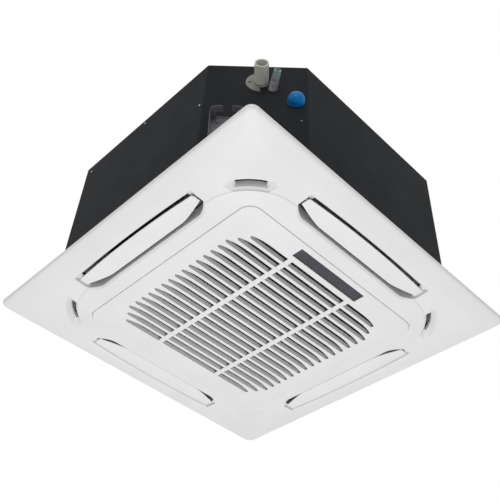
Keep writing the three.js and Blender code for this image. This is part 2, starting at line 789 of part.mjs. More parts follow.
// Aerofoil outline of a blade between two radii, backward curved, at a lean angle
function bladeOutline(inner, lean) {
  const samples = 4;
  const side = (sign) =>
    repeat(samples + 1, (i) => {
      const t = i / samples;
      const radius = THREE.MathUtils.lerp(inner, FAN_RADIUS + 4, t);
      const angle = lean + bladeTurn * t ** 0.8 + (sign * (1.1 + 11 * Math.sqrt(t) * (1 - t))) / radius;
      return point(radius * Math.cos(angle), radius * Math.sin(angle));
    });
  return [...side(1), ...side(-1).reverse()];
}

// Turbo fan: cone-shaped hub and back plate, backward-curved blades and the inlet shroud, one moulding
function turboFan() {
  const back = turned([
    [FAN_RADIUS, FAN_TOP - 3],
    [FAN_RADIUS, FAN_TOP],
    [128, FAN_TOP],
    [112, 298],
    [80, 232],
    [72, 226],
    [18, 226],
    [18, 236],
    [SHAFT_RADIUS + GAP, 236],
    [SHAFT_RADIUS + GAP, 204],
    [17, 204],
    [17, 223],
    [74, 223],
    [83, 230],
    [115, 295.5],
    [129, 300],
  ]);
  const shroud = turned([
    [195, 80],
    [195, 108],
    [199, 123],
    [208, 138],
    [222, 150],
    [FAN_RADIUS, 157.5],
    [FAN_RADIUS, 160],
    [221, 152.5],
    [206, 140],
    [196.5, 124],
    [192.5, 108],
    [192.5, 80],
  ]);
  const passage = turned([
    [112, 301.5],
    [FAN_RADIUS - 1, 301.5],
    [FAN_RADIUS - 1, 158.5],
    [221.5, 151],
    [207, 139],
    [197.8, 123.5],
    [193.8, 108],
    [165, 128],
    [112, 180],
  ]);
  const heights = [100, 200, 302];
  const blade = loft(
    heights.map((_, i) => bladeOutline(118 + 12 * i, 0.18 * i)),
    heights,
  ).intersect(passage);
  return join(back, shroud, ...repeat(BLADES, (k) => turnedAbout(blade, (k / BLADES) * 2 * Math.PI)));
}

place('turbo_fan', turboFan(), fanPlastic);
const shaftTop = space(0, 0, MOTOR.low + MOTOR.socket - 1);
place('fan_shaft', rod(space(0, 0, 190), shaftTop, SHAFT_RADIUS), motorSteel);

function fanNut() {
  const bore = SHAFT_RADIUS + 2 * GAP;
  const hexagon = turned([[0, 194], [12, 194], [12, 203.5], [0, 203.5]], 6);
  return cut(hexagon, rod(space(0, 0, 193), space(0, 0, 205), bore, bore, 12));
}
place('fan_nut', fanNut(), brass);

function bellMouth() {
  return turned(
    [
      [234, 9],
      [222, 9],
      [200, 19],
      [188, 46],
      [185.5, 92],
      [188, 92],
      [190.5, 47],
      [202, 21.5],
      [223, 11.7],
      [234, 11.7],
    ],
    20,
  );
}
place('bell_mouth', bellMouth(), blackPlastic);

// ---------------------------------------------------------------- body: controls

function controlBox() {
  const { half, near, far, low, high } = CONTROL_BOX;
  return cut(
    block(-half, half, near, far, low + 2, high),
    block(2 - half, half - 2, near + 2, far - 2, low, high - 2),
  );
}

function controlBoard() {
  const { half, near, far, high } = CONTROL_BOX;
  const board = block(8 - half, half - 8, near + 5, far - 5, 14, 16);
  const part = (x, y, width, depth, tall) =>
    block(x, x + width, near + y, near + y + depth, 10 - tall, 14.5);
  return join(
    board,
    part(-120, 12, 34, 30, 14),
    part(-60, 14, 20, 20, 10),
    part(-10, 10, 44, 12, 4),
    part(60, 10, 50, 14, 6),
    part(60, 32, 50, 10, 6),
    block(8 - half, 14 - half, near + 20, near + 30, 16, high - 2 - GAP),
    block(half - 14, half - 8, near + 20, near + 30, 16, high - 2 - GAP),
  );
}

function controlCover() {
  const { half, near, far, low } = CONTROL_BOX;
  const plate = block(-half, half, near, far, low, low + 2 - GAP);
  const bead = block(20 - half, half - 20, near + 26, near + 32, low - 1.2, low + 1);
  return join(plate, bead);
}

place('control_box', controlBox(), galvanised);
place('control_board', controlBoard(), boardGreen);
place('control_box_cover', controlCover(), galvanised);

const sensor = join(block(196, 226, -7, 7, 2, 8.7), rod(space(200, 0, 5), space(178, 0, 5), 3));
place('room_sensor', sensor, blackPlastic);

// ---------------------------------------------------------------- panel: frame

// The domed skin: the outer face from the rim to the intake opening
const FACE = [
  [PANEL_HALF, RIM_CORNER, -7.5],
  [PANEL_HALF - 2.5, RIM_CORNER - 1, -10.5],
  [446, 34, -17],
  [421, 60, -24],
  [ISLAND_HALF + 3, ISLAND_CORNER + 1, -28.5],
  [ISLAND_HALF - 1, ISLAND_CORNER - 1, -31],
  [332, 84, -35.5],
  [OPENING_HALF + 2.4, OPENING_CORNER + 1.5, -38.5],
  [OPENING_HALF, OPENING_CORNER, -37.5],
];

function panelSkin() {
  const inside = [
    [OPENING_HALF, OPENING_CORNER, OPENING_WALL_TOP],
    [OPENING_HALF + SKIN, OPENING_CORNER + SKIN, OPENING_WALL_TOP],
    [OPENING_HALF + SKIN, OPENING_CORNER + SKIN, -34.5],
    [332, 84, -32.3],
    [ISLAND_HALF, ISLAND_CORNER, -27],
    [421, 60, -20.8],
    [446, 34, -13.8],
    [462, 24, -8],
    [462, 24, 0],
    [PANEL_HALF, RIM_CORNER, 0],
  ];
  return squareRing([...FACE, ...inside]);
}

// Everything above the outer face, to trim what rises from it
function aboveFace() {
  const inside = [[100, 20, -39], [100, 20, COLLAR_TOP], [PANEL_HALF, RIM_CORNER, COLLAR_TOP]];
  return squareRing([...FACE.slice(0, 8), ...inside]);
}

// Corner outlet: a window beside the island, with facets that widen sideways to the face
function cornerCutter() {
  const { inner, outer, halfAngle } = CORNER_OUTLET;
  const window = sectorOutline(inner, outer, halfAngle, halfAngle);
  const mouth = sectorOutline(inner - 2.5, outer, halfAngle * 1.2, halfAngle * 1.9);
  return join(prism(window, -40, COLLAR_TOP + 1), loft([mouth, mouth, window], [-40, -29, -17]));
}

function cornerCollar() {
  const { inner, outer, halfAngle } = CORNER_OUTLET;
  const grow = COLLAR_WALL;
  const widen = grow / outer;
  const angles = [halfAngle * 1.2 + widen, halfAngle * 1.9 + widen];
  const mouth = sectorOutline(inner - 2 * grow, outer + grow, ...angles);
  const chimney = sectorOutline(inner - grow, outer + grow, halfAngle + widen, halfAngle + widen);
  return loft([mouth, mouth, chimney, chimney], [-34, -28, -15, COLLAR_TOP]);
}

// The outlet's through hole, with a flared lip on the island's side
function outletCutter() {
  const lip = (grow) => outletShape(grow).getPoints(BOW_STEPS);
  return join(outletPrism(0, -60, COLLAR_TOP + 1), loft([lip(9), lip(0)], [-38, -29]));
}

// Screw boss for the panel's fixing bolts, near each outlet's end
function boltBoss(radius, low, high) {
  return rod(space(-272, -392, low), space(-272, -392, high), radius, radius, 10);
}

function stiffener(x) {
  return block(x - 1.2, x + 1.2, -455, -OUTLET.outerEnd - 4, -26, -1);
}

const pinHoles = () => {
  const { reach, height } = LOUVER_AXIS;
  return rod(space(-240, -reach, height), space(240, -reach, height), PIN_HOLE, PIN_HOLE, 8);
};

function panelFrame() {
  const collar = join(outletPrism(COLLAR_WALL, -40, COLLAR_TOP), boltBoss(9, -40, COLLAR_TOP));
  const ribs = join(...[-110, 0, 110].map(stiffener));
  const raised = join(...onFourSides(join(collar, ribs)), ...onFourCorners(cornerCollar()));
  const shell = join(panelSkin(), raised.intersect(aboveFace()));
  return cut(
    shell,
    ...onFourSides(outletCutter()),
    ...onFourSides(pinHoles()),
    ...onFourSides(boltBoss(3.2, -20, COLLAR_TOP + 1)),
    ...onFourCorners(cornerCutter()),
  );
}
place('panel_frame', panelFrame(), whitePlastic);

// ---------------------------------------------------------------- panel: louvers and their motors

// Air louver on the -Y side: bowed blade, end arms up to the pivot line, pins into the collar walls
function louver() {
  const { reach, height } = LOUVER_AXIS;
  const top = LOUVER_BOTTOM + LOUVER_THICK;
  const low = outletShape(-1.2, LOUVER).getPoints(BOW_STEPS);
  const full = outletShape(0, LOUVER).getPoints(BOW_STEPS);
  const blade = loft([low, full, full], [LOUVER_BOTTOM, LOUVER_BOTTOM + 1.2, top]);
  const rib = block(-190, 190, -reach - 1.2, -reach + 1.2, top - 1, top + 3);
  const arm = (side) =>
    join(
      block(side * 203 - 1.5, side * 203 + 1.5, -reach - 7, -reach + 7, top - 1, height + 1),
      rod(space(side * 203 - 1.5, -reach, height), space(side * 203 + 1.5, -reach, height), 6),
      rod(space(side * 203, -reach, height), space(side * 225, -reach, height), LOUVER_PIN, LOUVER_PIN, 8),
    );
  return join(blade, rib, arm(-1), arm(1));
}

function louverMotor() {
  const { reach, height } = LOUVER_AXIS;
  const at = (x) => space(x, -reach, height);
  const can = rod(at(228), at(246), 11, 11, 14);
  const ears = block(228, 229.5, -reach - 9, -reach + 17, height - 4, height + 9);
  const socket = block(232, 244, -reach + 8, -reach + 15, height - 4, height + 4);
  return join(can, ears, socket);
}

SIDES.forEach((side, k) => {
  place(`louver_${side}`, louver(), whitePlastic, k * QUARTER);
  place(`louver_motor_${side}`, louverMotor(), blackPlastic, k * QUARTER);
});

// ---------------------------------------------------------------- panel: intake grille

const slotCentre = (row) => (row - (SLAT_ROWS - 1) / 2) * SLAT_PITCH;

function slotLength(row) {
  const fromEdge = Math.min(row, SLAT_ROWS - 1 - row);
  return SLOT_HALF_LENGTH - (SLOT_SHORTER[fromEdge] ?? 0);
}

// One slot: the -Y edge bends over to the other edge at both ends
function slotShape(row) {
  const end = slotLength(row);
  const taper = Math.min(SLOT_TAPER, (end - CROSSBAR_X) / 2);
  const y = slotCentre(row);
  const near = y - SLOT_HALF_WIDTH;
  const far = y + SLOT_HALF_WIDTH;
  const shape = new THREE.Shape();
  shape.moveTo(taper - end, near);
  shape.lineTo(end - taper, near);
  shape.quadraticCurveTo(end - taper / 3, near, end, y + 1);
  shape.quadraticCurveTo(end, far, end - 8, far);
  shape.lineTo(8 - end, far);
  shape.quadraticCurveTo(-end, far, -end, y + 1);
  shape.quadraticCurveTo(taper / 3 - end, near, taper - end, near);
  return shape;
}

// Slat web: stands on the far edge of each slot, inside the face
function slatWeb(row) {
  const edge = slotCentre(row) + SLOT_HALF_WIDTH;
  const end = slotLength(row) + WEB_OVERRUN;
  return block(-end, end, edge, edge + WEB_THICK, GRILLE_FACE + 1.5, WEB_TOP);
}

function intakeGrille() {
  const plan = (inset) => roundedSquare(GRILLE_HALF - inset, GRILLE_CORNER - inset);
  const blank = loft([plan(2.5), plan(0), plan(0)], [GRILLE_FACE, GRILLE_FACE + 2, GRILLE_TOP]);
  const hollow = prism(plan(2.5), GRILLE_FACE + SKIN, GRILLE_TOP + 1);
  const low = GRILLE_FACE - 1;
  const high = GRILLE_FACE + SKIN + 1;
  const slot = (row) => prism(slotShape(row), low, high, 2);
  const crossbar = (x) => block(x - CROSSBAR_WIDTH / 2, x + CROSSBAR_WIDTH / 2, -250, 250, low - 1, high + 1);
  const slots = cut(join(...repeat(SLAT_ROWS, slot)), crossbar(-CROSSBAR_X), crossbar(CROSSBAR_X));
  const window = displayPane(GAP, low, GRILLE_TOP);
  const catchPad = (x) => block(x - 8, x + 8, 290, 302.5, -34, GRILLE_TOP);
  const hingeEar = (x) => block(x - 12, x + 12, -302.5, -297, GRILLE_FACE + 2, -19);
  return join(
    cut(blank, hollow, slots, window),
    ...repeat(SLAT_ROWS, slatWeb),
    catchPad(-200),
    catchPad(200),
    hingeEar(-180),
    hingeEar(180),
  );
}
place('intake_grille', intakeGrille(), whitePlastic);

const FILTER = { half: 268, near: -246, far: 268, low: -24.5, high: -20.5 };

function airFilter() {
  const { half, near, far, low, high } = FILTER;
  const bar = 7;
  const rim = cut(
    block(-half, half, near, far, low, high),
    block(bar - half, half - bar, near + bar, far - bar, low - 1, high + 1),
  );
  const across = [-90, 90].map((x) => block(x - 2, x + 2, near + 2, far - 2, low, high));
  const mesh = block(2 - half, half - 2, near + 2, far - 2, low + 1.6, low + 2.4);
  return join(rim, mesh, ...across);
}
place('air_filter', airFilter(), filterMesh);

function displayPane(grow, low, high) {
  const half = DISPLAY.halfLength + grow;
  return block(-half, half, DISPLAY.near - grow, DISPLAY.far + grow, low, high);
}
place('display_window', displayPane(0, -36.5, -33.5), displayPlastic);
place('display_board', displayPane(-2, -33.2, -26), boardGreen);

// ---------------------------------------------------------------- panel: push latches

const LATCH = { x: 200, y: 297, plunger: 3.6, travel: 4 };

function latchHousing(x) {
  const shell = block(x - 12, x + 12, 288, OPENING_HALF - GAP, -15, -2);
  return cut(shell, rod(space(x, LATCH.y, -16), space(x, LATCH.y, -5), LATCH.plunger + GAP));
}

const latchPlunger = (x) =>
  rod(space(x, LATCH.y, GRILLE_TOP + GAP), space(x, LATCH.y, -5 - LATCH.travel - 1), LATCH.plunger);

['left', 'right'].forEach((side, i) => {
  const x = i === 0 ? -LATCH.x : LATCH.x;
  place(`latch_housing_${side}`, latchHousing(x), whitePlastic);
  place(`latch_plunger_${side}`, latchPlunger(x), greyPlastic);
});

export default unit;
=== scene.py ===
# Ceiling cassette air conditioner, seen from below at its pipe corner.
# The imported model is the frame, and this script dresses it. Shapes are worked in mm and end in metres.
import math
import bpy
import bmesh
from mathutils import Matrix, Vector


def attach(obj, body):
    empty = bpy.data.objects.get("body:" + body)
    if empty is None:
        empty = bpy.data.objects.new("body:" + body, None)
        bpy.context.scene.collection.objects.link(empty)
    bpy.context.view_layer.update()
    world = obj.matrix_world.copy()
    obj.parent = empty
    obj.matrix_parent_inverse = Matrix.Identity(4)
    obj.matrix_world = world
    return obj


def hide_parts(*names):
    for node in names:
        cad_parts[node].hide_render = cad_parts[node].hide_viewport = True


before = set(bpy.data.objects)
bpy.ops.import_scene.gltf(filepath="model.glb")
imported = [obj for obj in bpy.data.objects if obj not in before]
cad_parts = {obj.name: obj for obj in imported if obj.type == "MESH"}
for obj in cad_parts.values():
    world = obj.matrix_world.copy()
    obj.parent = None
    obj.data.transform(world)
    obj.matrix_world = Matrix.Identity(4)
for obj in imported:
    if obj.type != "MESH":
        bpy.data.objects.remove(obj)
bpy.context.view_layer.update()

scene = bpy.context.scene
quarter = math.pi / 2
toMetres = Matrix.Scale(0.001, 4)
sideNames = ("front", "right", "back", "left")  # -Y, +X, +Y, -X
cornerNames = ("front_left", "front_right", "back_right", "back_left")
print("frame loaded:", len(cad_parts), "nodes")


# solved from the panel's and the casing's corners in the photo, 500 x 500
viewpoint = {
    "place": (-1.0815, -1.1486, -1.2835),
    "target": (-0.1673, -0.1643, 0.0),
    "rollDeg": 3.365,
    "lens": 54.85,
}


def makeCamera():
    camera = bpy.data.objects.new("camera", bpy.data.cameras.new("camera"))
    camera.data.lens = viewpoint["lens"]
    camera.data.sensor_width = 36
    camera.data.clip_start = 0.05
    camera.data.clip_end = 50
    place = Vector(viewpoint["place"])
    aim = (Vector(viewpoint["target"]) - place).to_track_quat("-Z", "Y").to_matrix()
    roll = Matrix.Rotation(math.radians(viewpoint["rollDeg"]), 3, "Z")
    camera.matrix_world = Matrix.Translation(place) @ (aim @ roll).to_4x4()
    scene.collection.objects.link(camera)
    scene.camera = camera


def hexToLinear(code):
    parts = [int(code[i:i + 2], 16) / 255 for i in (1, 3, 5)]
    return tuple(v / 12.92 if v <= 0.04045 else ((v + 0.055) / 1.055) ** 2.4 for v in parts) + (1.0,)


# adds one node; a setting is a property of the node, an input is a value or a socket to link from
def addNode(tree, kind, settings=None, inputs=None):
    node = tree.nodes.new("ShaderNode" + kind)
    for name, value in (settings or {}).items():
        setattr(node, name, value)
    for socket, value in (inputs or {}).items():
        if isinstance(value, bpy.types.NodeSocket):
            tree.links.new(value, node.inputs[socket])
        else:
            node.inputs[socket].default_value = value
    return node


studio = {
    "ambient": 0.45,
    "floorHeight": -3.0,
    "floorSize": 24,
    # place, size and power of each soft lamp, all aimed at the panel
    "lamps": {
        "lowLamp": ((-0.2, -0.1, -2.7), 2.4, 42.5),
        "sideLamp": ((2.4, -2.2, -1.4), 1.8, 1),
        "highLamp": ((-2.5, -2.5, 1.6), 2.0, 32),
        "backLamp": ((2.6, 2.8, 1.6), 2.2, 30),
    },
}


# camera, mirror and glass rays see plain white; the rest see the studio's own light
def makeWorld():
    world = bpy.data.worlds.new("studioLight")
    world.use_nodes = True
    tree = world.node_tree
    tree.nodes.clear()
    path = addNode(tree, "LightPath").outputs
    direct = addNode(tree, "Math", {"operation": "ADD"},
                     {0: path["Is Camera Ray"], 1: path["Is Glossy Ray"]})
    backdrop = addNode(tree, "Math", {"operation": "ADD", "use_clamp": True},
                       {0: direct.outputs[0], 1: path["Is Transmission Ray"]})
    lit = addNode(tree, "Background", inputs={"Color": (1, 1, 1, 1), "Strength": studio["ambient"]})
    seen = addNode(tree, "Background", inputs={"Color": (1, 1, 1, 1), "Strength": 1.0})
    mix = addNode(tree, "MixShader", inputs={0: backdrop.outputs[0], 1: lit.outputs[0], 2: seen.outputs[0]})
    addNode(tree, "OutputWorld", inputs={"Surface": mix.outputs[0]})
    scene.world = world


def makeLamps():
    for name, (place, size, power) in studio["lamps"].items():
        lamp = bpy.data.lights.new(name, "AREA")
        lamp.shape = "DISK"
        lamp.size = size
        lamp.energy = power
        item = bpy.data.objects.new(name, lamp)
        item.location = place
        item.rotation_mode = "QUATERNION"
        item.rotation_quaternion = (-Vector(place)).to_track_quat("-Z", "Y")
        scene.collection.objects.link(item)


def perMm(size):
    return 1000 / size  # texture scale for a pattern of this many mm, on coordinates in metres


# starts a material: its empty tree, and the piece's own coordinates
def startMaterial(name):
    material = bpy.data.materials.new(name)
    material.use_nodes = True
    tree = material.node_tree
    tree.nodes.clear()
    return material, tree, addNode(tree, "TexCoord").outputs["Object"]


# ends a material: values go to the shader, a pattern blends two tones, and each relief, laid over the one
# before, is a height socket with its depth in mm and its strength
def endMaterial(material, values, reliefs, tones=None, pattern=None):
    tree = material.node_tree
    inputs = dict(values)
    if tones:
        blend = {0: pattern, 6: hexToLinear(tones[0]), 7: hexToLinear(tones[1])}
        inputs["Base Color"] = addNode(tree, "Mix", {"data_type": "RGBA"}, blend).outputs[2]
    for height, depthMm, strength in reliefs:
        relief = {"Height": height, "Distance": depthMm / 1000, "Strength": strength}
        if "Normal" in inputs:
            relief["Normal"] = inputs["Normal"]
        inputs["Normal"] = addNode(tree, "Bump", inputs=relief).outputs[0]
    shader = addNode(tree, "BsdfPrincipled", inputs=inputs)
    addNode(tree, "OutputMaterial", inputs={"Surface": shader.outputs[0]})
    return material


# matte pale board with a faint mottle
def makeFloor():
    shape = bmesh.new()
    bmesh.ops.create_grid(shape, x_segments=2, y_segments=2, size=studio["floorSize"] / 2)
    bmesh.ops.translate(shape, verts=shape.verts, vec=(0, 0, studio["floorHeight"]))
    mesh = bpy.data.meshes.new("floor")
    shape.to_mesh(mesh)
    shape.free()
    floor = bpy.data.objects.new("floor", mesh)
    scene.collection.objects.link(floor)
    material, tree, coords = startMaterial("matteFloor")
    mottle = addNode(tree, "TexNoise", inputs={"Vector": coords, "Scale": 0.7, "Detail": 3})
    tone = addNode(tree, "MapRange", inputs={0: mottle.outputs[0], 3: 0.90, 4: 0.94})
    matte = addNode(tree, "BsdfDiffuse", inputs={0: tone.outputs[0]})
    addNode(tree, "OutputMaterial", inputs={"Surface": matte.outputs[0]})
    mesh.materials.append(material)


makeCamera()
makeWorld()
makeLamps()
makeFloor()
scene.view_settings.view_transform = "Standard"
print("camera, light and floor made")


# a plastic: two close tones in soft clouds, a fine moulded grain, and a roughness that wanders a little
def mouldedPlastic(name, tones, roughness, cloudMm, grain, grainMm=0.9, extra=None):
    material, tree, coords = startMaterial(name)
    cloud, wander, fine = [
        addNode(tree, "TexNoise",
                inputs={"Vector": coords, "Scale": perMm(size), "Detail": detail}).outputs[0]
        for size, detail in ((cloudMm, 3), (cloudMm / 4, 4), (grainMm, 2))]
    blend = addNode(tree, "MapRange", inputs={0: cloud, 1: 0.35, 2: 0.65})
    rough = addNode(tree, "MapRange", inputs={0: wander, 3: roughness - 0.05, 4: roughness + 0.06})
    values = {"IOR": 1.5, "Roughness": rough.outputs[0], **(extra or {})}
    return endMaterial(material, values, [(fine, 0.05, grain)], tones, blend.outputs[0])


# a metal: two close tones, rolled streaks of 0.6 mm drawn out along X, and smudges in the roughness
def rolledMetal(name, tones, roughness):
    material, tree, coords = startMaterial(name)
    drawn = addNode(tree, "Mapping", inputs={"Vector": coords, "Scale": (1 / 30, 1, 1)})
    streaks, cloud = [
        addNode(tree, "TexNoise",
                inputs={"Vector": place, "Scale": perMm(size), "Detail": detail}).outputs[0]
        for place, size, detail in ((drawn.outputs[0], 0.6, 3), (coords, 45, 4))]
    rough = addNode(tree, "MapRange",
                    inputs={0: cloud, 1: 0.3, 2: 0.7, 3: roughness - 0.07, 4: roughness + 0.08})
    values = {"Metallic": 1.0, "Roughness": rough.outputs[0]}
    return endMaterial(material, values, [(streaks, 0.04, 0.2)], tones, cloud)


# galvanised sheet under powder coat: matte, with the orange peel of the baked powder
def powderCoat(name, tones, roughness, specular):
    material, tree, coords = startMaterial(name)
    cloud, scuffs, peel, fine = [
        addNode(tree, "TexNoise", inputs={"Vector": coords, "Scale": perMm(size), "Detail": detail,
                                          "Roughness": fray}).outputs[0]
        for size, detail, fray in ((210, 3, 0.5), (38, 6, 0.7), (2.6, 1, 0.5), (0.7, 2, 0.5))]
    blend = addNode(tree, "MapRange", inputs={0: cloud, 1: 0.35, 2: 0.65})
    rough = addNode(tree, "MapRange", inputs={0: scuffs, 3: roughness - 0.06, 4: roughness + 0.1})
    values = {"IOR": 1.5, "Specular IOR Level": specular, "Roughness": rough.outputs[0]}
    return endMaterial(material, values, [(peel, 0.06, 0.25), (fine, 0.03, 0.25)], tones, blend.outputs[0])


# hot-dip galvanised steel: bright, with the zinc's spangle as patches of slightly different grey
def spangledZinc():
    material, tree, coords = startMaterial("spangledZinc")
    cells = addNode(tree, "TexVoronoi", inputs={"Vector": coords, "Scale": perMm(7)})
    patch = addNode(tree, "SeparateColor", inputs={0: cells.outputs["Color"]}).outputs[0]
    rough = addNode(tree, "MapRange", inputs={0: patch, 3: 0.30, 4: 0.48})
    values = {"Metallic": 1.0, "Roughness": rough.outputs[0]}
    spangle = [(cells.outputs["Distance"], 0.03, 0.15)]
    return endMaterial(material, values, spangle, ("#a4a8ab", "#bfc3c5"), patch)


# expanded polystyrene, steam moulded: white beads pressed together, about 4 mm across, with painted shade in
# the grooves between them
def beadFoam():
    material, tree, coords = startMaterial("pressedBeadFoam")
    beads = addNode(tree, "TexVoronoi", inputs={"Vector": coords, "Scale": perMm(4)})
    rim = addNode(tree, "MapRange",
                  inputs={0: beads.outputs["Distance"], 1: 0.25, 2: 0.75, 3: 1, 4: 0}).outputs[0]
    values = {"IOR": 1.45, "Roughness": 0.85}
    # the beads' edges take the darker tone: painted shade in the grooves
    return endMaterial(material, values, [(rim, 0.25, 0.5)], ("#dcdcd8", "#ecece9"), rim)


# closed-cell foam strip: black, open pores of under a millimetre, drawn at 1.6 mm so that they show, with
# painted shade in the pores
def sealFoam():
    material, tree, coords = startMaterial("blackCellFoam")
    pores = addNode(tree, "TexVoronoi", inputs={"Vector": coords, "Scale": perMm(1.6)})
    hole = addNode(tree, "MapRange", inputs={0: pores.outputs["Distance"], 1: 0.1, 2: 0.6}).outputs[0]
    values = {"IOR": 1.4, "Roughness": 0.95}
    # the pores take the darker tone: painted shade in them
    return endMaterial(material, values, [(hole, 0.5, 0.6)], ("#0d0d0e", "#232325"), hole)


# stacked aluminium fins at 1.5 mm: bands with dark gaps of painted shade between the fins, drawn at 3 mm so
# that they show
def finStack():
    material, tree, coords = startMaterial("stackedAluminiumFins")
    bands = addNode(tree, "TexWave", {"wave_type": "BANDS", "bands_direction": "DIAGONAL"},
                    {"Vector": coords, "Scale": perMm(3) / 6.5, "Distortion": 0.4, "Detail": 1}).outputs[1]
    values = {"Metallic": 1.0, "Roughness": 0.42}
    # the low bands take the dark tone: painted shade in the gaps between the fins
    return endMaterial(material, values, [(bands, 0.5, 0.5)], ("#54585b", "#c3c7c9"), bands)


# smoked acrylic, polished: dark slate with faint wipe marks in the gloss
def smokedAcrylic():
    material, tree, coords = startMaterial("smokedAcrylic")
    cloud = addNode(tree, "TexNoise", inputs={"Vector": coords, "Scale": perMm(60)})
    wipe = addNode(tree, "Mapping", inputs={"Vector": coords, "Scale": (1, 6, 1), "Rotation": (0, 0, 0.4)})
    marks = addNode(tree, "TexNoise", inputs={"Vector": wipe.outputs[0], "Scale": perMm(30), "Detail": 5})
    rough = addNode(tree, "MapRange", inputs={0: marks.outputs[0], 1: 0.4, 2: 0.75, 3: 0.16, 4: 0.42})
    values = {"IOR": 1.49, "Specular IOR Level": 0.35, "Roughness": rough.outputs[0],
              "Coat Weight": 0.4, "Coat Roughness": 0.05}
    return endMaterial(material, values, (), ("#3c3d45", "#46474f"), cloud.outputs[0])


# woven nylon net on the filter: threads at 1 mm, drawn at 2.4 mm, near black between them, painted shade for
# the dark space behind the net
def nylonNet():
    material, tree, coords = startMaterial("wovenNylonNet")
    across, along = [
        addNode(tree, "TexWave", {"bands_direction": direction},
                {"Vector": coords, "Scale": perMm(2.4) / 6.283, "Distortion": 0.15}).outputs[1]
        for direction in ("X", "Y")]
    weave = addNode(tree, "Math", {"operation": "MAXIMUM"}, {0: across, 1: along})
    threads = addNode(tree, "MapRange", inputs={0: weave.outputs[0], 1: 0.55, 2: 0.95}).outputs[0]
    values = {"IOR": 1.53, "Roughness": 0.7}
    # between the threads the near-black tone is painted shade
    return endMaterial(material, values, [(threads, 0.4, 0.6)], ("#050505", "#202123"), threads)


# glass-reinforced epoxy board: green solder mask with lighter copper tracks under it
def solderMask():
    material, tree, coords = startMaterial("greenSolderMask")
    tracks = addNode(tree, "TexBrick", {"offset": 0.5},
                     {"Vector": coords, "Scale": perMm(9), "Mortar Size": 0.05,
                      "Color1": hexToLinear("#1d4c31"), "Color2": hexToLinear("#245b3a"),
                      "Mortar": hexToLinear("#3c7d54")}).outputs
    values = {"IOR": 1.5, "Roughness": 0.35, "Base Color": tracks[0]}
    return endMaterial(material, values, [(tracks[1], 0.1, 0.4)])


# soft vinyl tube: part clear, a cast of its own where the wall is thick
def clearVinyl(name, tones, clearness):
    return mouldedPlastic(name, tones, 0.3, cloudMm=14, grainMm=1.5, grain=0.15,
                          extra={"Transmission Weight": clearness})


finishes = {
    # ABS, injection moulded: satin, very even, with a fine spark-eroded grain
    "panel": mouldedPlastic("whiteMouldedAbs", ("#e6e6e7", "#eaeaea"), 0.42, cloudMm=160, grainMm=1.1,
                            grain=0.10, extra={"IOR": 1.52}),
    # the same ABS on the louvers, a shade lighter
    "louver": mouldedPlastic("whiteLouverAbs", ("#e8e8e8", "#ececec"), 0.38, cloudMm=120, grainMm=1.0,
                             grain=0.08, extra={"IOR": 1.52}),
    "casing": powderCoat("charcoalPowderCoat", ("#1f2124", "#25272a"), 0.6, 0.05),
    # thicker sheet, mid-grey with a powder coat's texture; the grey is painted shade, standing for bright
    # galvanised steel seen in shade
    "bracket": powderCoat("greyBracketWithPaintedShade", ("#58595c", "#646568"), 0.55, 0.25),
    "zinc": spangledZinc(),
    "foam": beadFoam(),
    "seal": sealFoam(),
    "fins": finStack(),
    # drawn copper tube, slightly tarnished
    "copper": rolledMetal("drawnCopper", ("#a95f3c", "#c07a52"), 0.34),
    # turned brass, machine-bright
    "brass": rolledMetal("turnedBrass", ("#b0924a", "#c6aa62"), 0.3),
    # cold-rolled steel of the motor can and the shaft
    "steel": rolledMetal("coldRolledSteel", ("#85888b", "#9a9da0"), 0.36),
    # zinc-plated screws, bright points on the dark casing
    "screw": rolledMetal("zincPlatedScrew", ("#9c9fa1", "#c4c6c8"), 0.28),
    # the same screws in a darker, duller tone
    "dullScrew": rolledMetal("darkerDullScrew", ("#606264", "#727476"), 0.4),
    # glass-filled polypropylene of the fan: dark grey, slightly streaky
    "fan": mouldedPlastic("glassFilledPolypropylene", ("#36393d", "#43464b"), 0.5, cloudMm=30, grain=0.3),
    # moulded polypropylene and nylon: darker and mid-grey, with a fine matte grain
    "black": mouldedPlastic("blackPolypropylene", ("#17181a", "#202124"), 0.48, cloudMm=40, grain=0.2),
    "grey": mouldedPlastic("greyNylon", ("#666a6e", "#75797d"), 0.5, cloudMm=30, grain=0.2),
    "display": smokedAcrylic(),
    # unplasticised PVC, extruded: pale olive grey, satin, a little chalky
    "drain": mouldedPlastic("olivePvc", ("#cccec1", "#d9dbcf"), 0.45, cloudMm=22, grainMm=1.6, grain=0.25),
    # its moulded flange, in a darker tone than the tube
    "flange": mouldedPlastic("darkOlivePvc", ("#74756f", "#82837c"), 0.55, cloudMm=22, grainMm=1.6,
                             grain=0.25),
    # grey-lilac tube and its green tip
    "clear": clearVinyl("clearVinyl", ("#a39da8", "#b8b2be"), 0.2),
    "green": clearVinyl("tintedVinyl", ("#7a9d96", "#93b6ae"), 0.15),
    # dipped vinyl cap: saturated blue, soft gloss, soft edges
    "blue": mouldedPlastic("blueDippedVinyl", ("#006bb0", "#007bc2"), 0.3, cloudMm=16, grain=0.15,
                           extra={"Specular IOR Level": 0.15}),
    "board": solderMask(),
    "net": nylonNet(),
    # cured EPDM, faintly dusty
    "rubber": mouldedPlastic("curedRubber", ("#17181a", "#242527"), 0.8, cloudMm=18, grainMm=0.8, grain=0.3),
}
print("materials made:", len(finishes))


def quadratic(start, pull, end, steps):
    points = []
    for i in range(steps + 1):
        t = i / steps
        a, b, c = (1 - t) ** 2, 2 * t * (1 - t), t * t
        points.append((a * start[0] + b * pull[0] + c * end[0], a * start[1] + b * pull[1] + c * end[1]))
    return points


# drops points that follow another within a hair, so that an outline can be filled
def tidyOutline(points):
    kept = []
    for p in points:
        if not kept or math.dist(p, kept[-1]) > 0.01:
            kept.append(p)
    if math.dist(kept[0], kept[-1]) <= 0.01:
        kept.pop()
    return kept


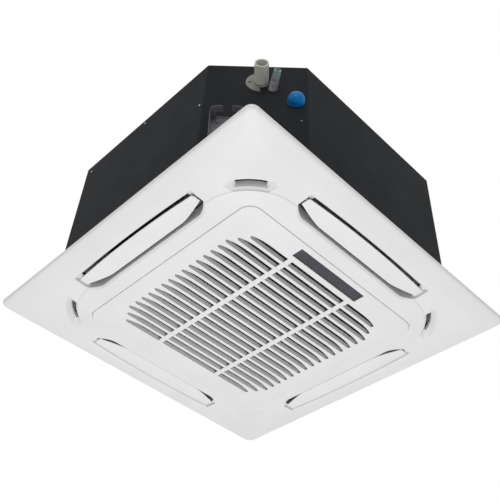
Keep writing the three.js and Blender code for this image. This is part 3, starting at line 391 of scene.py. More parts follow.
# a filled outline, pulled up to a solid between two heights
def slab(points, low, high):
    shape = bmesh.new()
    corners = [shape.verts.new((x, y, low)) for x, y in tidyOutline(points)]
    face = shape.faces.new(corners)
    raised = bmesh.ops.extrude_face_region(shape, geom=[face])["geom"]
    top = [item for item in raised if isinstance(item, bmesh.types.BMVert)]
    bmesh.ops.translate(shape, verts=top, vec=(0, 0, high - low))
    bmesh.ops.recalc_face_normals(shape, faces=shape.faces)
    return shape


def brick(x0, x1, y0, y1, z0, z1):
    return slab([(x0, y0), (x1, y0), (x1, y1), (x0, y1)], z0, z1)


# outlines with the same number of points: the first is filled, then pulled up from one to the next
def stack(outlines, heights):
    shape = bmesh.new()
    order = shape.verts.layers.int.new("order")
    corners = [shape.verts.new((x, y, heights[0])) for x, y in outlines[0]]
    for i, vert in enumerate(corners):
        vert[order] = i
    foot = top = shape.faces.new(corners)
    for outline, height in zip(outlines[1:], heights[1:]):
        raised = bmesh.ops.extrude_face_region(shape, geom=[top])["geom"]
        if top is not foot:
            bmesh.ops.delete(shape, geom=[top], context="FACES_ONLY")
        top = next(item for item in raised if isinstance(item, bmesh.types.BMFace))
        for vert in top.verts:
            x, y = outline[vert[order]]
            vert.co = (x, y, height)
    bmesh.ops.recalc_face_normals(shape, faces=shape.faces)
    return shape


def roundedSquare(half, radius, steps):
    points = []
    for corner in range(4):
        spin = Matrix.Rotation(corner * quarter, 2)
        for i in range(steps + 1):
            angle = i / steps * quarter
            p = Vector((half - radius + radius * math.cos(angle), half - radius + radius * math.sin(angle)))
            points.append(tuple(spin @ p))
    return points


# a closed section carried round rounded squares; each ring is (half width, corner radius, height)
def squareRing(rings, steps):
    shape = bmesh.new()
    order = shape.verts.layers.int.new("order")
    count = 4 * (steps + 1)
    first = bmesh.ops.create_circle(shape, segments=count, radius=1)["verts"]
    for i, vert in enumerate(first):
        vert[order] = i
    firstEdges = list(shape.edges)

    def settle(verts, ring):
        outline = roundedSquare(ring[0], ring[1], steps)
        for vert in verts:
            x, y = outline[vert[order]]
            vert.co = (x, y, ring[2])

    settle(first, rings[0])
    edges = firstEdges
    for ring in rings[1:]:
        grown = bmesh.ops.extrude_edge_only(shape, edges=edges)["geom"]
        fresh = [item for item in grown if isinstance(item, bmesh.types.BMVert)]
        settle(fresh, ring)
        edges = [item for item in grown if isinstance(item, bmesh.types.BMEdge)
                 and item.verts[0] in fresh and item.verts[1] in fresh]
    bmesh.ops.bridge_loops(shape, edges=edges + firstEdges)
    bmesh.ops.recalc_face_normals(shape, faces=shape.faces)
    return shape


# a profile of (radius, height) turned about the vertical through the origin
def turned(profile, steps):
    shape = bmesh.new()
    corners = [shape.verts.new((radius, 0, height)) for radius, height in profile]
    edges = [shape.edges.new(pair) for pair in zip(corners, corners[1:])]
    if profile[0][0] > 0 or profile[-1][0] > 0:
        edges.append(shape.edges.new((corners[-1], corners[0])))
    bmesh.ops.spin(shape, geom=corners + edges, cent=(0, 0, 0), axis=(0, 0, 1), angle=2 * math.pi,
                   steps=steps, use_merge=True)
    bmesh.ops.remove_doubles(shape, verts=shape.verts, dist=1e-4)
    bmesh.ops.recalc_face_normals(shape, faces=shape.faces)
    return shape


def moved(shape, matrix):
    bmesh.ops.transform(shape, matrix=matrix, verts=shape.verts)
    return shape


def spun(shape, angle):
    return moved(shape, Matrix.Rotation(angle, 4, "Z"))


def rod(radius, low, high, steps):
    return turned([(0, low), (radius, low), (radius, high), (0, high)], steps)


# lays a shape that stands on z = 0 over, so that it stands out along +X
def alongX(shape, side, height, reach=0):
    return moved(shape, Matrix.Translation((reach, side, height)) @ Matrix.Rotation(quarter, 4, "Y"))


# several shapes in one, as separate shells
def gathered(*shapes):
    whole = bmesh.new()
    for shape in shapes:
        mesh = bpy.data.meshes.new("part")
        shape.to_mesh(mesh)
        shape.free()
        whole.from_mesh(mesh)
        bpy.data.meshes.remove(mesh)
    return whole


def onFourSides(make):
    return gathered(*[spun(make(), k * quarter) for k in range(4)])


def onFourCorners(make):
    return gathered(*[spun(make(), (2.5 + k) * quarter) for k in range(4)])


# joins, cuts or keeps the overlap of two solids
def combined(base, tool, operation, selfCrossing=False):
    items = []
    for word, shape in (("base", base), ("tool", tool)):
        item = bpy.data.objects.new(word, bpy.data.meshes.new(word))
        shape.to_mesh(item.data)
        shape.free()
        scene.collection.objects.link(item)
        items.append(item)
    modifier = items[0].modifiers.new("combine", "BOOLEAN")
    modifier.solver = "EXACT"
    modifier.operation = operation
    modifier.use_self = selfCrossing
    modifier.object = items[1]
    result = bmesh.new()
    result.from_object(items[0], bpy.context.evaluated_depsgraph_get())
    for item in items:
        mesh = item.data
        bpy.data.objects.remove(item)
        bpy.data.meshes.remove(mesh)
    bmesh.ops.remove_doubles(result, verts=result.verts, dist=0.002)
    bmesh.ops.dissolve_degenerate(result, edges=result.edges, dist=0.002)
    return result


# a merged copy of a CAD node, in mm
def nodeShape(node):
    shape = bmesh.new()
    shape.from_mesh(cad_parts[node].data)
    moved(shape, Matrix.Scale(1000, 4))
    bmesh.ops.remove_doubles(shape, verts=shape.verts, dist=0.01)
    bmesh.ops.dissolve_limit(shape, angle_limit=math.radians(0.6), verts=shape.verts, edges=shape.edges)
    return shape


# turns a shape into the finished piece: smooth within the given angle, riding on its body
def finishPiece(name, shape, body, finish, replaced=(), sharpDeg=30):
    moved(shape, toMetres)
    shape.normal_update()
    for face in shape.faces:
        face.smooth = True
        face.material_index = 0
    for edge in shape.edges:
        edge.smooth = edge.calc_face_angle(math.pi) < math.radians(sharpDeg)
    mesh = bpy.data.meshes.new(name)
    shape.to_mesh(mesh)
    shape.free()
    mesh.materials.append(finishes[finish])
    piece = bpy.data.objects.new(name, mesh)
    scene.collection.objects.link(piece)
    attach(piece, body)
    if replaced:
        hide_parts(*replaced)
    return piece


# a small rounding on a finished piece's sharp edges
def roundEdges(piece, widthMm):
    bevel = piece.modifiers.new("roundedEdges", "BEVEL")
    bevel.width = widthMm / 1000
    bevel.segments = 2
    bevel.profile = 0.5
    bevel.limit_method = "ANGLE"
    bevel.angle_limit = math.radians(35)
    bevel.harden_normals = True


# decoration panel: frame with its domed face, outlets and raised island
panel = {
    "half": 475, "corner": 20, "edge": 3, "rimRounding": 8,
    # the face from the rim inwards, as (half width, corner radius, height)
    "domeRows": [(466, 21.5, -11.9), (446, 34, -17.3), (421, 60, -23.2), (366, 144, -28.5)],
    "islandRows": [(363.4, 142.6, -31), (332, 84, -35.3), (308, 38.1, -38.5)],
    # the back of the skin, from the opening outwards
    "backRows": [(332, 84, -32.3), (363, 143, -27), (421, 60, -20), (446, 34, -13.8), (462, 24, -8)],
    "openingHalf": 305.2, "openingCorner": 36.2, "lipHeights": (-38.4, -37.5),
    "wallFoot": -34.5, "wallTop": -6, "skin": 3,
    "trimHalf": 100, "trimLow": -39.2,  # the inner end of the body that trims the ducts
    "collarLow": -40, "collarTop": 5, "collarWall": 2.5, "cornerSteps": 20,
    "ribs": (-110, 0, 110), "rib": (1.2, -455, -415, -26, -1),  # half thickness, then span and heights
    "bossAt": (-272, -392), "bossRadius": 9, "bossHole": 3.2,
}
outlet = {
    "half": 220, "outerEnd": 411, "outerMid": 417, "corner": 370, "inner": 347, "shoulder": 176,
    "lip": 8, "lipHeight": -16, "lipTurns": (68, 45, 22, 0), "cutHeights": (-60, 9),
    "flare": 9.6, "flareHeights": (-38.6, -28.95), "ledgeEnd": 230, "steps": 14,
    # nearest point along the outlet, then reach and height, each from and to; clear of the louver's arms
    "ledges": ((213.2, 360, 393.4, -18.8, -17.2), (213.3, 392, 393.3, -18, -13),
               (201, 392.1, 430, -14.2, -12.6)),
}
cornerWindow = {
    "inner": 147, "outer": 176, "throat": 163, "halfAngle": 0.23, "centre": 220 * math.sqrt(2),
    "clear": 2.5, "mouthSpread": (1.2, 1.9), "waistSpread": (1.1, 1.4), "steps": 10,
    "cutHeights": (-42, -27.5, -22, -13.5), "collarHeights": (-34, -26, -11, -2),
}


def outletOutline(grow, size=outlet):
    steps = outlet["steps"]
    end = size["half"] + grow
    outer = size["outerEnd"] + grow
    inner = size["inner"] - grow
    corner = size["corner"] - grow
    shoulder = size["shoulder"]
    bow = outer - 2 * (size["outerMid"] + grow)
    rounding = size.get("round", 0)
    points = quadratic((-end, rounding - outer), (-end, -outer), (rounding - end, -outer), 5)
    points += quadratic((rounding - end, -outer), (0, bow), (end - rounding, -outer), steps)
    points += quadratic((end - rounding, -outer), (end, -outer), (end, rounding - outer), 5)
    points += quadratic((end, -corner), (shoulder + 20 + grow, -inner), (shoulder, -inner), steps)
    points += quadratic((-shoulder, -inner), (-shoulder - 20 - grow, -inner), (-end, -corner), steps)
    return points


# a piece of a ring: two arcs, joined by straight sides in short steps
def sectorOutline(inner, outer, innerAngle, outerAngle):
    steps = cornerWindow["steps"]

    def at(share, turn):
        radius = outer + (inner - outer) * share
        angle = turn * (outerAngle + (innerAngle - outerAngle) * share)
        return (cornerWindow["centre"] + radius * math.cos(angle), radius * math.sin(angle))

    points = [at(0, 2 * i / steps - 1) for i in range(steps + 1)]
    points += [at(i / 6, 1) for i in range(1, 6)]
    points += [at(1, 1 - 2 * i / steps) for i in range(steps + 1)]
    return points + [at(1 - i / 6, -1) for i in range(1, 6)]


# passes smoothly through rows of (half width, corner radius, height)
def smoothRows(rows, steps):
    out = []
    for k in range(len(rows) - 1):
        around = [rows[max(k - 1, 0)], rows[k], rows[k + 1], rows[min(k + 2, len(rows) - 1)]]
        a, b, c, d = [Vector(row) for row in around]
        for i in range(steps):
            t = i / steps
            out.append(tuple(0.5 * (2 * b + (c - a) * t + (2 * a - 5 * b + 4 * c - d) * t ** 2
                                    + (3 * b - a - 3 * c + d) * t ** 3)))
    return out + [rows[-1]]


def faceRows():
    rounding = panel["rimRounding"]
    rim = []
    for turn in (0, 20, 40, 60, 76):
        inset = rounding * (1 - math.cos(math.radians(turn)))
        drop = rounding * math.sin(math.radians(turn))
        rim.append((panel["half"] - inset, panel["corner"] - 0.4 * inset, -panel["edge"] - drop))
    wall, corner = panel["openingHalf"], panel["openingCorner"]
    start, end = panel["lipHeights"]
    lip = [(wall + 1, corner + 1, start), (wall, corner, end)]
    return rim + smoothRows(panel["domeRows"], 5) + smoothRows(panel["islandRows"], 5) + lip


def panelSkin():
    wall, corner, skin = panel["openingHalf"], panel["openingCorner"], panel["skin"]
    wallRows = [(wall, corner, panel["wallTop"]), (wall + skin, corner + skin, panel["wallTop"]),
                (wall + skin, corner + skin, panel["wallFoot"])]
    last = panel["backRows"][-1]
    rimRows = [(last[0], last[1], -0.01), (panel["half"], panel["corner"], -0.01)]
    return squareRing(faceRows() + wallRows + panel["backRows"] + rimRows, panel["cornerSteps"])


# everything above the outer face, which trims the ducts' walls
def aboveFace():
    rows = [(half, corner, height + 0.8) for half, corner, height in faceRows()[:-2]]
    top, corner, inner = panel["collarTop"] - 0.01, panel["corner"], panel["trimHalf"]
    inside = [(inner, corner, panel["trimLow"]), (inner, corner, top), (panel["half"], corner, top)]
    return squareRing(rows + inside, panel["cornerSteps"])


# the opening's outer lip is rounded in, its rim flares, and thin ledges stay at each end, above the blade
def outletCutter():
    lip, lipHeight = outlet["lip"], outlet["lipHeight"]
    bottom, top = outlet["cutHeights"]
    turns = [(90, bottom), (90, lipHeight - 0.1 - lip)]  # how far round the lip, and at what height
    turns += [(turn, lipHeight - lip * math.sin(math.radians(turn))) for turn in outlet["lipTurns"]]
    outlines, heights = [], []
    for turn, height in turns + [(0, top)]:
        grow = (0.1 - math.cos(math.radians(turn))) * lip
        size = {**outlet, "outerEnd": outlet["outerEnd"] + grow, "outerMid": outlet["outerMid"] + grow}
        outlines.append(outletOutline(0, size))
        heights.append(height)
    flare = stack([outletOutline(outlet["flare"]), outletOutline(-0.05)], outlet["flareHeights"])
    hole = combined(stack(outlines, heights), flare, "UNION")
    ledges = []
    for near, fromReach, toReach, low, high in outlet["ledges"]:
        for side in (-1, 1):
            x0, x1 = sorted((side * near, side * outlet["ledgeEnd"]))
            ledges.append(brick(x0, x1, -toReach, -fromReach, low, high))
    return combined(hole, gathered(*ledges), "DIFFERENCE", True)


# a corner outlet: a wide mouth in the face, a waist, and a narrower window up through the panel
def cornerCutter():
    inner, outer, throat = cornerWindow["inner"], cornerWindow["outer"], cornerWindow["throat"]
    angle, clear, heights = cornerWindow["halfAngle"], cornerWindow["clear"], cornerWindow["cutHeights"]
    window = sectorOutline(inner + clear, throat, angle, angle)
    waistAngles = [angle * spread for spread in cornerWindow["waistSpread"]]
    waist = sectorOutline(inner + clear, outer - 0.4 * (outer - throat), *waistAngles)
    mouth = sectorOutline(inner - clear, outer, *[angle * spread for spread in cornerWindow["mouthSpread"]])
    return combined(slab(window, heights[0], 9), stack([mouth, mouth, waist, window], heights), "UNION")


def cornerCollar():
    inner, outer, angle = cornerWindow["inner"], cornerWindow["outer"], cornerWindow["halfAngle"]
    grow = panel["collarWall"]
    widen = grow / outer
    mouthAngles = [angle * spread + widen for spread in cornerWindow["mouthSpread"]]
    mouth = sectorOutline(inner - 2 * grow, outer + grow, *mouthAngles)
    chimney = sectorOutline(inner - grow, cornerWindow["throat"] + grow, angle + widen, angle + widen)
    return stack([mouth, mouth, chimney, chimney], cornerWindow["collarHeights"])


def boss(radius, low, high):
    x, y = panel["bossAt"]
    return moved(rod(radius, low, high, 24), Matrix.Translation((x, y, 0)))


def sideCollar():
    bottom, top = panel["collarLow"], panel["collarTop"]
    collar = slab(outletOutline(panel["collarWall"]), bottom, top)
    half, near, far, low, high = panel["rib"]
    ribs = [brick(x - half, x + half, near, far, low, high) for x in panel["ribs"]]
    whole = combined(collar, gathered(*ribs), "UNION")
    return combined(whole, boss(panel["bossRadius"], bottom, top), "UNION")


def makePanelFrame():
    raised = combined(onFourSides(sideCollar), onFourCorners(cornerCollar), "UNION", True)
    raised = combined(raised, aboveFace(), "INTERSECT")
    shell = combined(panelSkin(), raised, "UNION")
    hole, pinHole, pinHoleEnd = panel["bossHole"], louver["pinHole"], louver["pinHoleEnd"]
    for cutter in (onFourSides(outletCutter), onFourCorners(cornerCutter),
                   onFourSides(lambda: boss(hole, -10, 9)),
                   onFourSides(lambda: pinRod(-pinHoleEnd, pinHoleEnd, pinHole))):
        shell = combined(shell, cutter, "DIFFERENCE")
    finishPiece("panelFrame", shell, "cassette", "panel", ["panel_frame"], 24)


# the four louvers: a thin blade with a rib, and an arm at each end on a pin in the outlet's end wall
louver = {
    "size": {"half": 212, "outerEnd": 398, "outerMid": 405, "corner": 374, "inner": 354, "shoulder": 128,
             "round": 9},
    "low": -25, "thick": 3.4, "edgeRounding": 1.1, "ribHalf": 190, "ribHeight": 3,
    "axisReach": 384, "axisHeight": -12, "armAt": 203, "armSheet": 3, "armWide": 14, "eye": 6,
    "pin": 3, "pinEnd": 225, "pinHole": 3.5, "pinHoleEnd": 226,
}


def pinRod(x0, x1, radius):
    return alongX(rod(radius, x0, x1, 24), -louver["axisReach"], louver["axisHeight"])


def makeLouver(index):
    low, reach, axis = louver["low"], louver["axisReach"], louver["axisHeight"]
    top = low + louver["thick"]
    root = top - 0.8  # the rib and the arms start inside the blade
    blade = slab(outletOutline(0, louver["size"]), low, top)
    rim = [edge for edge in blade.edges if abs(edge.verts[0].co.z - edge.verts[1].co.z) < 0.1]
    bmesh.ops.bevel(blade, geom=rim, offset=louver["edgeRounding"], segments=3, profile=0.5,
                    affect="EDGES", material=-1)
    rib = louver["ribHalf"]
    parts = [blade, brick(-rib, rib, -reach - 1.2, -reach + 1.2, root, top + louver["ribHeight"])]
    thin, wide = louver["armSheet"] / 2, louver["armWide"] / 2
    for side in (-1, 1):
        at = side * louver["armAt"]
        parts.append(brick(at - thin, at + thin, -reach - wide, -reach + wide, root, axis + 1))
        parts.append(pinRod(at - thin, at + thin, louver["eye"]))
        ends = sorted((at, side * louver["pinEnd"]))
        parts.append(pinRod(ends[0], ends[1], louver["pin"]))
    side = sideNames[index]
    whole = spun(gathered(*parts), index * quarter)
    finishPiece(f"louverBlade_{side}", whole, f"louver_{side}", "louver", [f"louver_{side}"])


makePanelFrame()
print("panel frame made")
for index in range(4):
    makeLouver(index)
print("louvers made")


# intake grille, hinged on its -Y edge
grille = {
    "half": 304.2, "corner": 35.2, "face": -40, "top": -25, "skin": 3, "wall": 2.5,
    "edge": ((2.5, 0), (1.0, 0.5), (0.3, 1.2), (0, 2.4)),  # the rounded edge, as inset and height
    "rows": 19, "pitch": 25.75, "slotHalfWidth": 8.5, "slotHalfLength": 258, "taper": 62,
    "shorter": {0: 31, 1: 15},  # the two end rows at each side
    "web": 1.8, "webFoot": -38.5, "webTop": -29, "webOverrun": 16, "webLean": 2.3,
    "barAt": 104, "barWidth": 14, "barHalfLength": 250, "barDip": 0.7,
    "windowHalf": 115, "windowNear": -288, "windowFar": -256, "windowGap": 0.3,
    "paneLow": -36.5, "paneHigh": -33.5, "paneRounding": 0.5,
    # two catches and two hinge lugs: place to either side, half width, span and heights
    "lugs": ((200, 8, 290, 302.5, -34, -25), (180, 12, -302.5, -297, -38, -19)),
}


def slotCentre(row):
    return (row - (grille["rows"] - 1) / 2) * grille["pitch"]


def slotEnd(row):
    return grille["slotHalfLength"] - grille["shorter"].get(min(row, grille["rows"] - 1 - row), 0)


def slotOutline(row):
    end, y = slotEnd(row), slotCentre(row)
    taper = grille["taper"]
    near, far = y - grille["slotHalfWidth"], y + grille["slotHalfWidth"]
    points = [(taper - end, near)]
    points += quadratic((end - taper, near), (end - taper / 3, near), (end, y + 1), 8)
    points += quadratic((end, y + 1), (end, far), (end - 8, far), 5)
    points += quadratic((8 - end, far), (-end, far), (-end, y + 1), 5)
    points += quadratic((-end, y + 1), (taper / 3 - end, near), (taper - end, near), 8)
    return points


# a shallow tray with a rounded edge
def grilleTray():
    half, corner, face, wall = grille["half"], grille["corner"], grille["face"], grille["wall"]
    edge = grille["edge"] + ((0, grille["top"] - face),)
    outlines = [roundedSquare(half - inset, corner - inset, 12) for inset, height in edge]
    blank = stack(outlines, [face + height for inset, height in edge])
    hollow = slab(roundedSquare(half - wall, corner - wall, 12), face + grille["skin"], grille["top"] + 1)
    return combined(blank, hollow, "DIFFERENCE")


# a thin leaning wall along each slot
def grilleWeb(row):
    edge, end = slotCentre(row) + grille["slotHalfWidth"], slotEnd(row) + grille["webOverrun"]
    web = brick(-end, end, edge, edge + grille["web"], grille["webFoot"], grille["webTop"])
    upper = [vert for vert in web.verts if vert.co.z > grille["webTop"] - 1]
    bmesh.ops.translate(web, verts=upper, vec=(0, -grille["webLean"], 0))
    return web


# the slots stop at the two crossbars, which lie a little behind the face
def makeGrille():
    face, top, skin = grille["face"], grille["top"], grille["skin"]
    gap, bar, reach = grille["windowGap"], grille["barWidth"] / 2, grille["barHalfLength"]
    half = grille["windowHalf"] + gap
    window = brick(-half, half, grille["windowNear"] - gap, grille["windowFar"] + gap, face - 1, top)
    rows = range(grille["rows"])
    bars = [brick(at - bar, at + bar, -reach, reach, face - 2, face + skin + 2)
            for at in (-grille["barAt"], grille["barAt"])]
    slots = gathered(*[slab(slotOutline(row), face - 1, face + skin + 1) for row in rows])
    slots = combined(slots, gathered(*bars), "DIFFERENCE")
    dips = [slab(slotOutline(row), face - 1.5, face + grille["barDip"]) for row in rows]
    plate = combined(grilleTray(), gathered(window, slots), "DIFFERENCE")
    plate = combined(plate, gathered(*dips), "DIFFERENCE")
    inside = [grilleWeb(row) for row in rows]
    for at, wide, near, far, low, high in grille["lugs"]:
        for x in (-at, at):
            inside.append(brick(x - wide, x + wide, near, far, low, high))
    plate = gathered(plate, *inside)
    finishPiece("grilleFace", plate, "grille", "panel", ["intake_grille"])


def makeDisplayWindow():
    half, low = grille["windowHalf"], grille["paneLow"]
    pane = brick(-half, half, grille["windowNear"], grille["windowFar"], low, grille["paneHigh"])
    rim = [edge for edge in pane.edges if all(vert.co.z < low + 0.1 for vert in edge.verts)]
    bmesh.ops.bevel(pane, geom=rim, offset=grille["paneRounding"], segments=2, profile=0.5,
                    affect="EDGES", material=-1)
    finishPiece("displayPane", pane, "grille", "display", ["display_window"])


makeGrille()
makeDisplayWindow()
print("intake grille made")


# the casing's plan, which the pipes and the screws are placed by as well
casing = {
    "reach": 438, "halfLength": 259, "bend": 8, "bendSteps": 8, "lap": 3, "sheet": 2, "gap": 0.04,
    "low": 12, "high": 400.7, "footFold": 10, "headFold": 12, "topHeights": (390, 410),
    "grommet": (-150, 150, 14.3),  # place along the back wall, height, hole radius
}
cornerReach = (casing["reach"] + casing["halfLength"]) * math.sqrt(0.5)
cornerHalf = (casing["reach"] - casing["halfLength"]) * math.sqrt(0.5)

# pipe corner: +X is out of the face here, +Y along it towards -Y of the unit
pipes = {
    "angle": 1.25 * math.pi, "face": cornerReach, "clear": 0.3, "inset": 22,
    "drain": {"side": 11.4, "height": 330, "outer": 18, "bore": 14, "length": 58, "hole": 19,
              "flange": 39.5, "flangeThick": 3, "collar": 6,
              "biteSide": 22, "biteBelow": 31, "biteRadius": 25,
              "ventNear": 13, "ventFar": 42, "screwSide": -29, "screwBelow": 3, "screwRadius": 4.6},
    # each part of the vent is from one share of its length to another, its bore and its ridges
    "vent": {"side": 41, "height": 308, "tipSide": 51, "tipHeight": 317, "base": 11.5, "tip": 9,
             "length": 48, "hole": 13.5, "parts": ((-0.15, 0.72, 7.5, 2), (0.73, 1.0, 6, 0))},
    "bead": 0.6, "beadEnd": 3.4, "domePower": 0.85,  # of the caps
    "gas": {"side": 97.5, "height": 252, "cap": 22, "capLength": 26.5, "nut": 16.5, "hole": 9},
    "liquid": {"side": 52, "height": 118, "cap": 14, "capLength": 18, "nut": 11.5, "hole": 5.8},
}


def atPipeCorner(shape, size):
    return spun(alongX(shape, size["side"], size["height"]), pipes["angle"])


def makeDrainPipe():
    size = pipes["drain"]
    outer, bore = size["outer"], size["bore"]
    start, face = pipes["face"] - pipes["inset"], pipes["face"] + pipes["clear"]
    end = face + size["length"]
    tube = turned([(bore, start), (outer, start), (outer, face + 1)]
                  + quadratic((outer, end - 1.2), (outer, end), (outer - 1.2, end), 4)
                  + quadratic((bore + 1, end), (bore, end), (bore, end - 1), 3), 72)
    finishPiece("drainSpigot", atPipeCorner(tube, size), "cassette", "drain", ["drain_outlet_pipe"])


# the flange is bitten away below, cut back beside the vent, and has a sunk screw hole
def makeDrainFlange():
    size = pipes["drain"]
    outer, bore, rim = size["outer"], size["bore"], size["flange"]
    side, height, face = size["side"], size["height"], pipes["face"] + pipes["clear"]
    front, collar = face + size["flangeThick"], face + size["collar"]
    flange = turned([(bore + 1, face), (rim, face)]
                    + quadratic((rim, front - 1), (rim, front), (rim - 1, front), 3)
                    + [(outer + 2.5, front)]
                    + quadratic((outer + 2.4, front), (outer, front + 0.2), (outer, collar), 4)
                    + [(bore + 1, collar)], 72)
    flange = alongX(flange, side, height)
    bite = rod(size["biteRadius"], face - 1, front + 1, 64)
    besideVent = brick(face - 1, front + 1, side + size["ventNear"], side + size["ventFar"],
                       height - 2 * rim, height + 2 * rim)
    screwHole = rod(size["screwRadius"], face + 0.6, face + 5, 32)
    for cutter in (alongX(bite, side + size["biteSide"], height - size["biteBelow"]), besideVent,
                   alongX(screwHole, side + size["screwSide"], height - size["screwBelow"])):
        flange = combined(flange, cutter, "DIFFERENCE")
    finishPiece("drainFlange", spun(flange, pipes["angle"]), "cassette", "flange")


# a tapered tube along the vent's slanted line, between two shares of its length
def ventPiece(fromShare, toShare, bore, ridges):
    size = pipes["vent"]

    def at(share):
        return Vector((pipes["face"] + size["length"] * share,
                       size["side"] + (size["tipSide"] - size["side"]) * share,
                       size["height"] + (size["tipHeight"] - size["height"]) * share))

    def radius(share):
        return size["base"] + (size["tip"] - size["base"]) * share

    start, end = at(fromShare), at(toShare)
    length = (end - start).length
    low, high = radius(fromShare), radius(toShare)
    outside = [(low, 0)]
    for k in range(ridges):
        z = length * (k + 1) / (ridges + 1)
        here = low + (high - low) * z / length
        outside += [(here, z - 1.2), (here - 0.5, z), (here, z + 1.2)]
    outside += quadratic((high, length - 0.8), (high, length), (high - 0.8, length), 3)
    tube = turned([(bore, 0)] + outside + [(bore, length)], 48)
    aim = (end - start).to_track_quat("Z", "Y").to_matrix().to_4x4()
    return spun(moved(tube, Matrix.Translation(start) @ aim), pipes["angle"])


def makeVent():
    tube, tip = [ventPiece(*part) for part in pipes["vent"]["parts"]]
    finishPiece("ventTube", tube, "cassette", "clear", ["vent_tube"])
    finishPiece("ventTip", tip, "cassette", "green", ["vent_tube_tip"])


# a soft cap: a bead at its mouth, a full half-round dome, and a cavity that follows under it
def makeCap(name, size, node):
    back, power = pipes["face"] + pipes["clear"], pipes["domePower"]
    front = back + size["capLength"]
    bead, r = size["cap"], size["cap"] - pipes["bead"]
    profile = [(size["nut"], back), (bead - 0.8, back), (bead, back + 0.8),
               (bead, back + pipes["beadEnd"] - 1), (r, back + pipes["beadEnd"])]
    dome = min(r, size["capLength"] - 5)
    for turn in range(0, 91, 6):
        across, up = math.cos(math.radians(turn)), math.sin(math.radians(turn))
        profile.append((r * max(across, 0) ** power, front - dome + dome * up ** power))
    profile[-1] = (0, front)
    for share in (0, 0.76, 0.95, 1):
        inside = size["nut"] * share
        under = dome * math.sqrt(1 - (inside / r) ** 2)
        profile.append((inside, front - dome + under - (3 if share in (0, 1) else 1.3)))
    finishPiece(name, atPipeCorner(turned(profile, 64), size), "cassette", "blue", [node])


makeDrainPipe()
makeDrainFlange()
makeVent()
makeCap("gasCap", pipes["gas"], "gas_pipe_cap")
makeCap("liquidCap", pipes["liquid"], "liquid_pipe_cap")
print("pipe corner made")


def pieceName(node):
    return "dressed" + "".join(word.capitalize() for word in node.split("_"))


# a node's own solid with its edges eased
def dress(node, body, finish, easing):
    roundEdges(finishPiece(pieceName(node), nodeShape(node), body, finish, [node]), easing)


# one line of a side wall's plan: round the bends at both ends, then a lap along the corner faces
def bentLine(inset):
    steps = casing["bendSteps"]
    radius = casing["bend"] - inset
    across = casing["reach"] - casing["bend"]
    along = casing["halfLength"] - casing["bend"] * math.tan(quarter / 4)
    lap = casing["lap"] * math.sqrt(0.5)
    points = []
    for i in range(steps + 1):
        angle = (i / steps) * quarter / 2
        points.append((across + radius * math.cos(angle), along + radius * math.sin(angle)))
    points.append((points[-1][0] - lap, points[-1][1] + lap))
    return [(x, -y) for x, y in reversed(points)] + points


# casing of folded sheet: the side walls turn the bends, the corner walls lie flat between them
def sideWall():
    sheet, low, high = casing["sheet"], casing["low"], casing["high"]
    outer = bentLine(0)
    parts = [slab(outer + bentLine(sheet)[::-1], low, high)]
    parts.append(slab(bentLine(sheet - 0.2) + bentLine(casing["footFold"])[::-1], low, low + sheet))
    parts.append(slab(bentLine(sheet - 0.2) + bentLine(casing["headFold"])[::-1], high - sheet, high))
    return gathered(*parts)


def cornerWall():
    sheet, low, high, reach = casing["sheet"], casing["low"], casing["high"], cornerReach
    half = cornerHalf - casing["bend"] * math.tan(quarter / 4) - casing["lap"] - casing["gap"]
    parts = [brick(reach - sheet, reach, -half, half, low, high)]
    parts.append(brick(reach - casing["footFold"], reach - sheet + 0.2, -half, half, low, low + sheet))
    parts.append(brick(reach - casing["headFold"], reach - sheet + 0.2, -half, half, high - sheet, high))
    return gathered(*parts)


# a drill across a wall, standing out along +X
def drill(radius, side, height, reach):
    return alongX(rod(radius, reach - 20, reach + 5, 48), side, height)


def finishWall(wall, node):
    roundEdges(finishPiece(pieceName(node), wall, "cassette", "casing", [node]), 0.5)


def makeCasing():
    for k, side in enumerate(sideNames):
        wall = spun(sideWall(), (k - 1) * quarter)
        if side == "back":
            x, height, radius = casing["grommet"]
            wall = combined(wall, spun(drill(radius, -x, height, casing["reach"]), quarter), "DIFFERENCE")
        finishWall(wall, f"side_panel_{side}")
    for k, corner in enumerate(cornerNames):
        wall = cornerWall()
        if k == 0:
            for name in ("drain", "vent", "gas", "liquid"):
                size = pipes[name]
                tool = drill(size["hole"], size["side"], size["height"], cornerReach)
                wall = combined(wall, tool, "DIFFERENCE")
        finishWall(spun(wall, (k + 2.5) * quarter), f"corner_panel_{corner}")
    plan = []
    for k in range(4):
        plan += [tuple(Matrix.Rotation(k * quarter, 2) @ Vector(p)) for p in bentLine(0)[1:-1]]
    plate = combined(nodeShape("top_plate"), slab(plan, *casing["topHeights"]), "INTERSECT")
    roundEdges(finishPiece("stampedTop", plate, "cassette", "casing", ["top_plate"]), 0.6)


makeCasing()
for corner in cornerNames:
    dress(f"hanger_bracket_{corner}", "cassette", "bracket", 0.6)

# heads, and where they are as (side, height); the brackets stand 2.8 mm proud of the corner walls
screws = {
    "radius": 3.0, "height": 1.8, "recess": 0.7, "slot": 0.4,
    "washer": 4, "washerThick": 0.6, "bolt": 3, "boltHeight": 2.8, "boltBevel": 0.4,
    "onWalls": ((-232, 375), (8, 386), (246, 241)),
    "onCorners": ((111, 178),),
    "onBrackets": ((-24, 159), (24, 159)), "bracketShift": 62.8, "bracketReach": cornerReach + 2.8,
}


# pan-head screw with a crossed recess, standing on z = 0
def panHead():
    r, h, slot = screws["radius"], screws["height"], screws["slot"]
    head = turned([(0, 0), (r, 0)] + quadratic((r, 0.4), (r, h), (r * 0.45, h), 4) + [(0, h)], 16)
    low, half = h - screws["recess"], r * 0.6
    cross = gathered(brick(-half, half, -slot, slot, low, h + 1),
                     brick(-slot, slot, -half, half, low - 0.01, h + 1.1))
    return combined(head, cross, "DIFFERENCE", True)


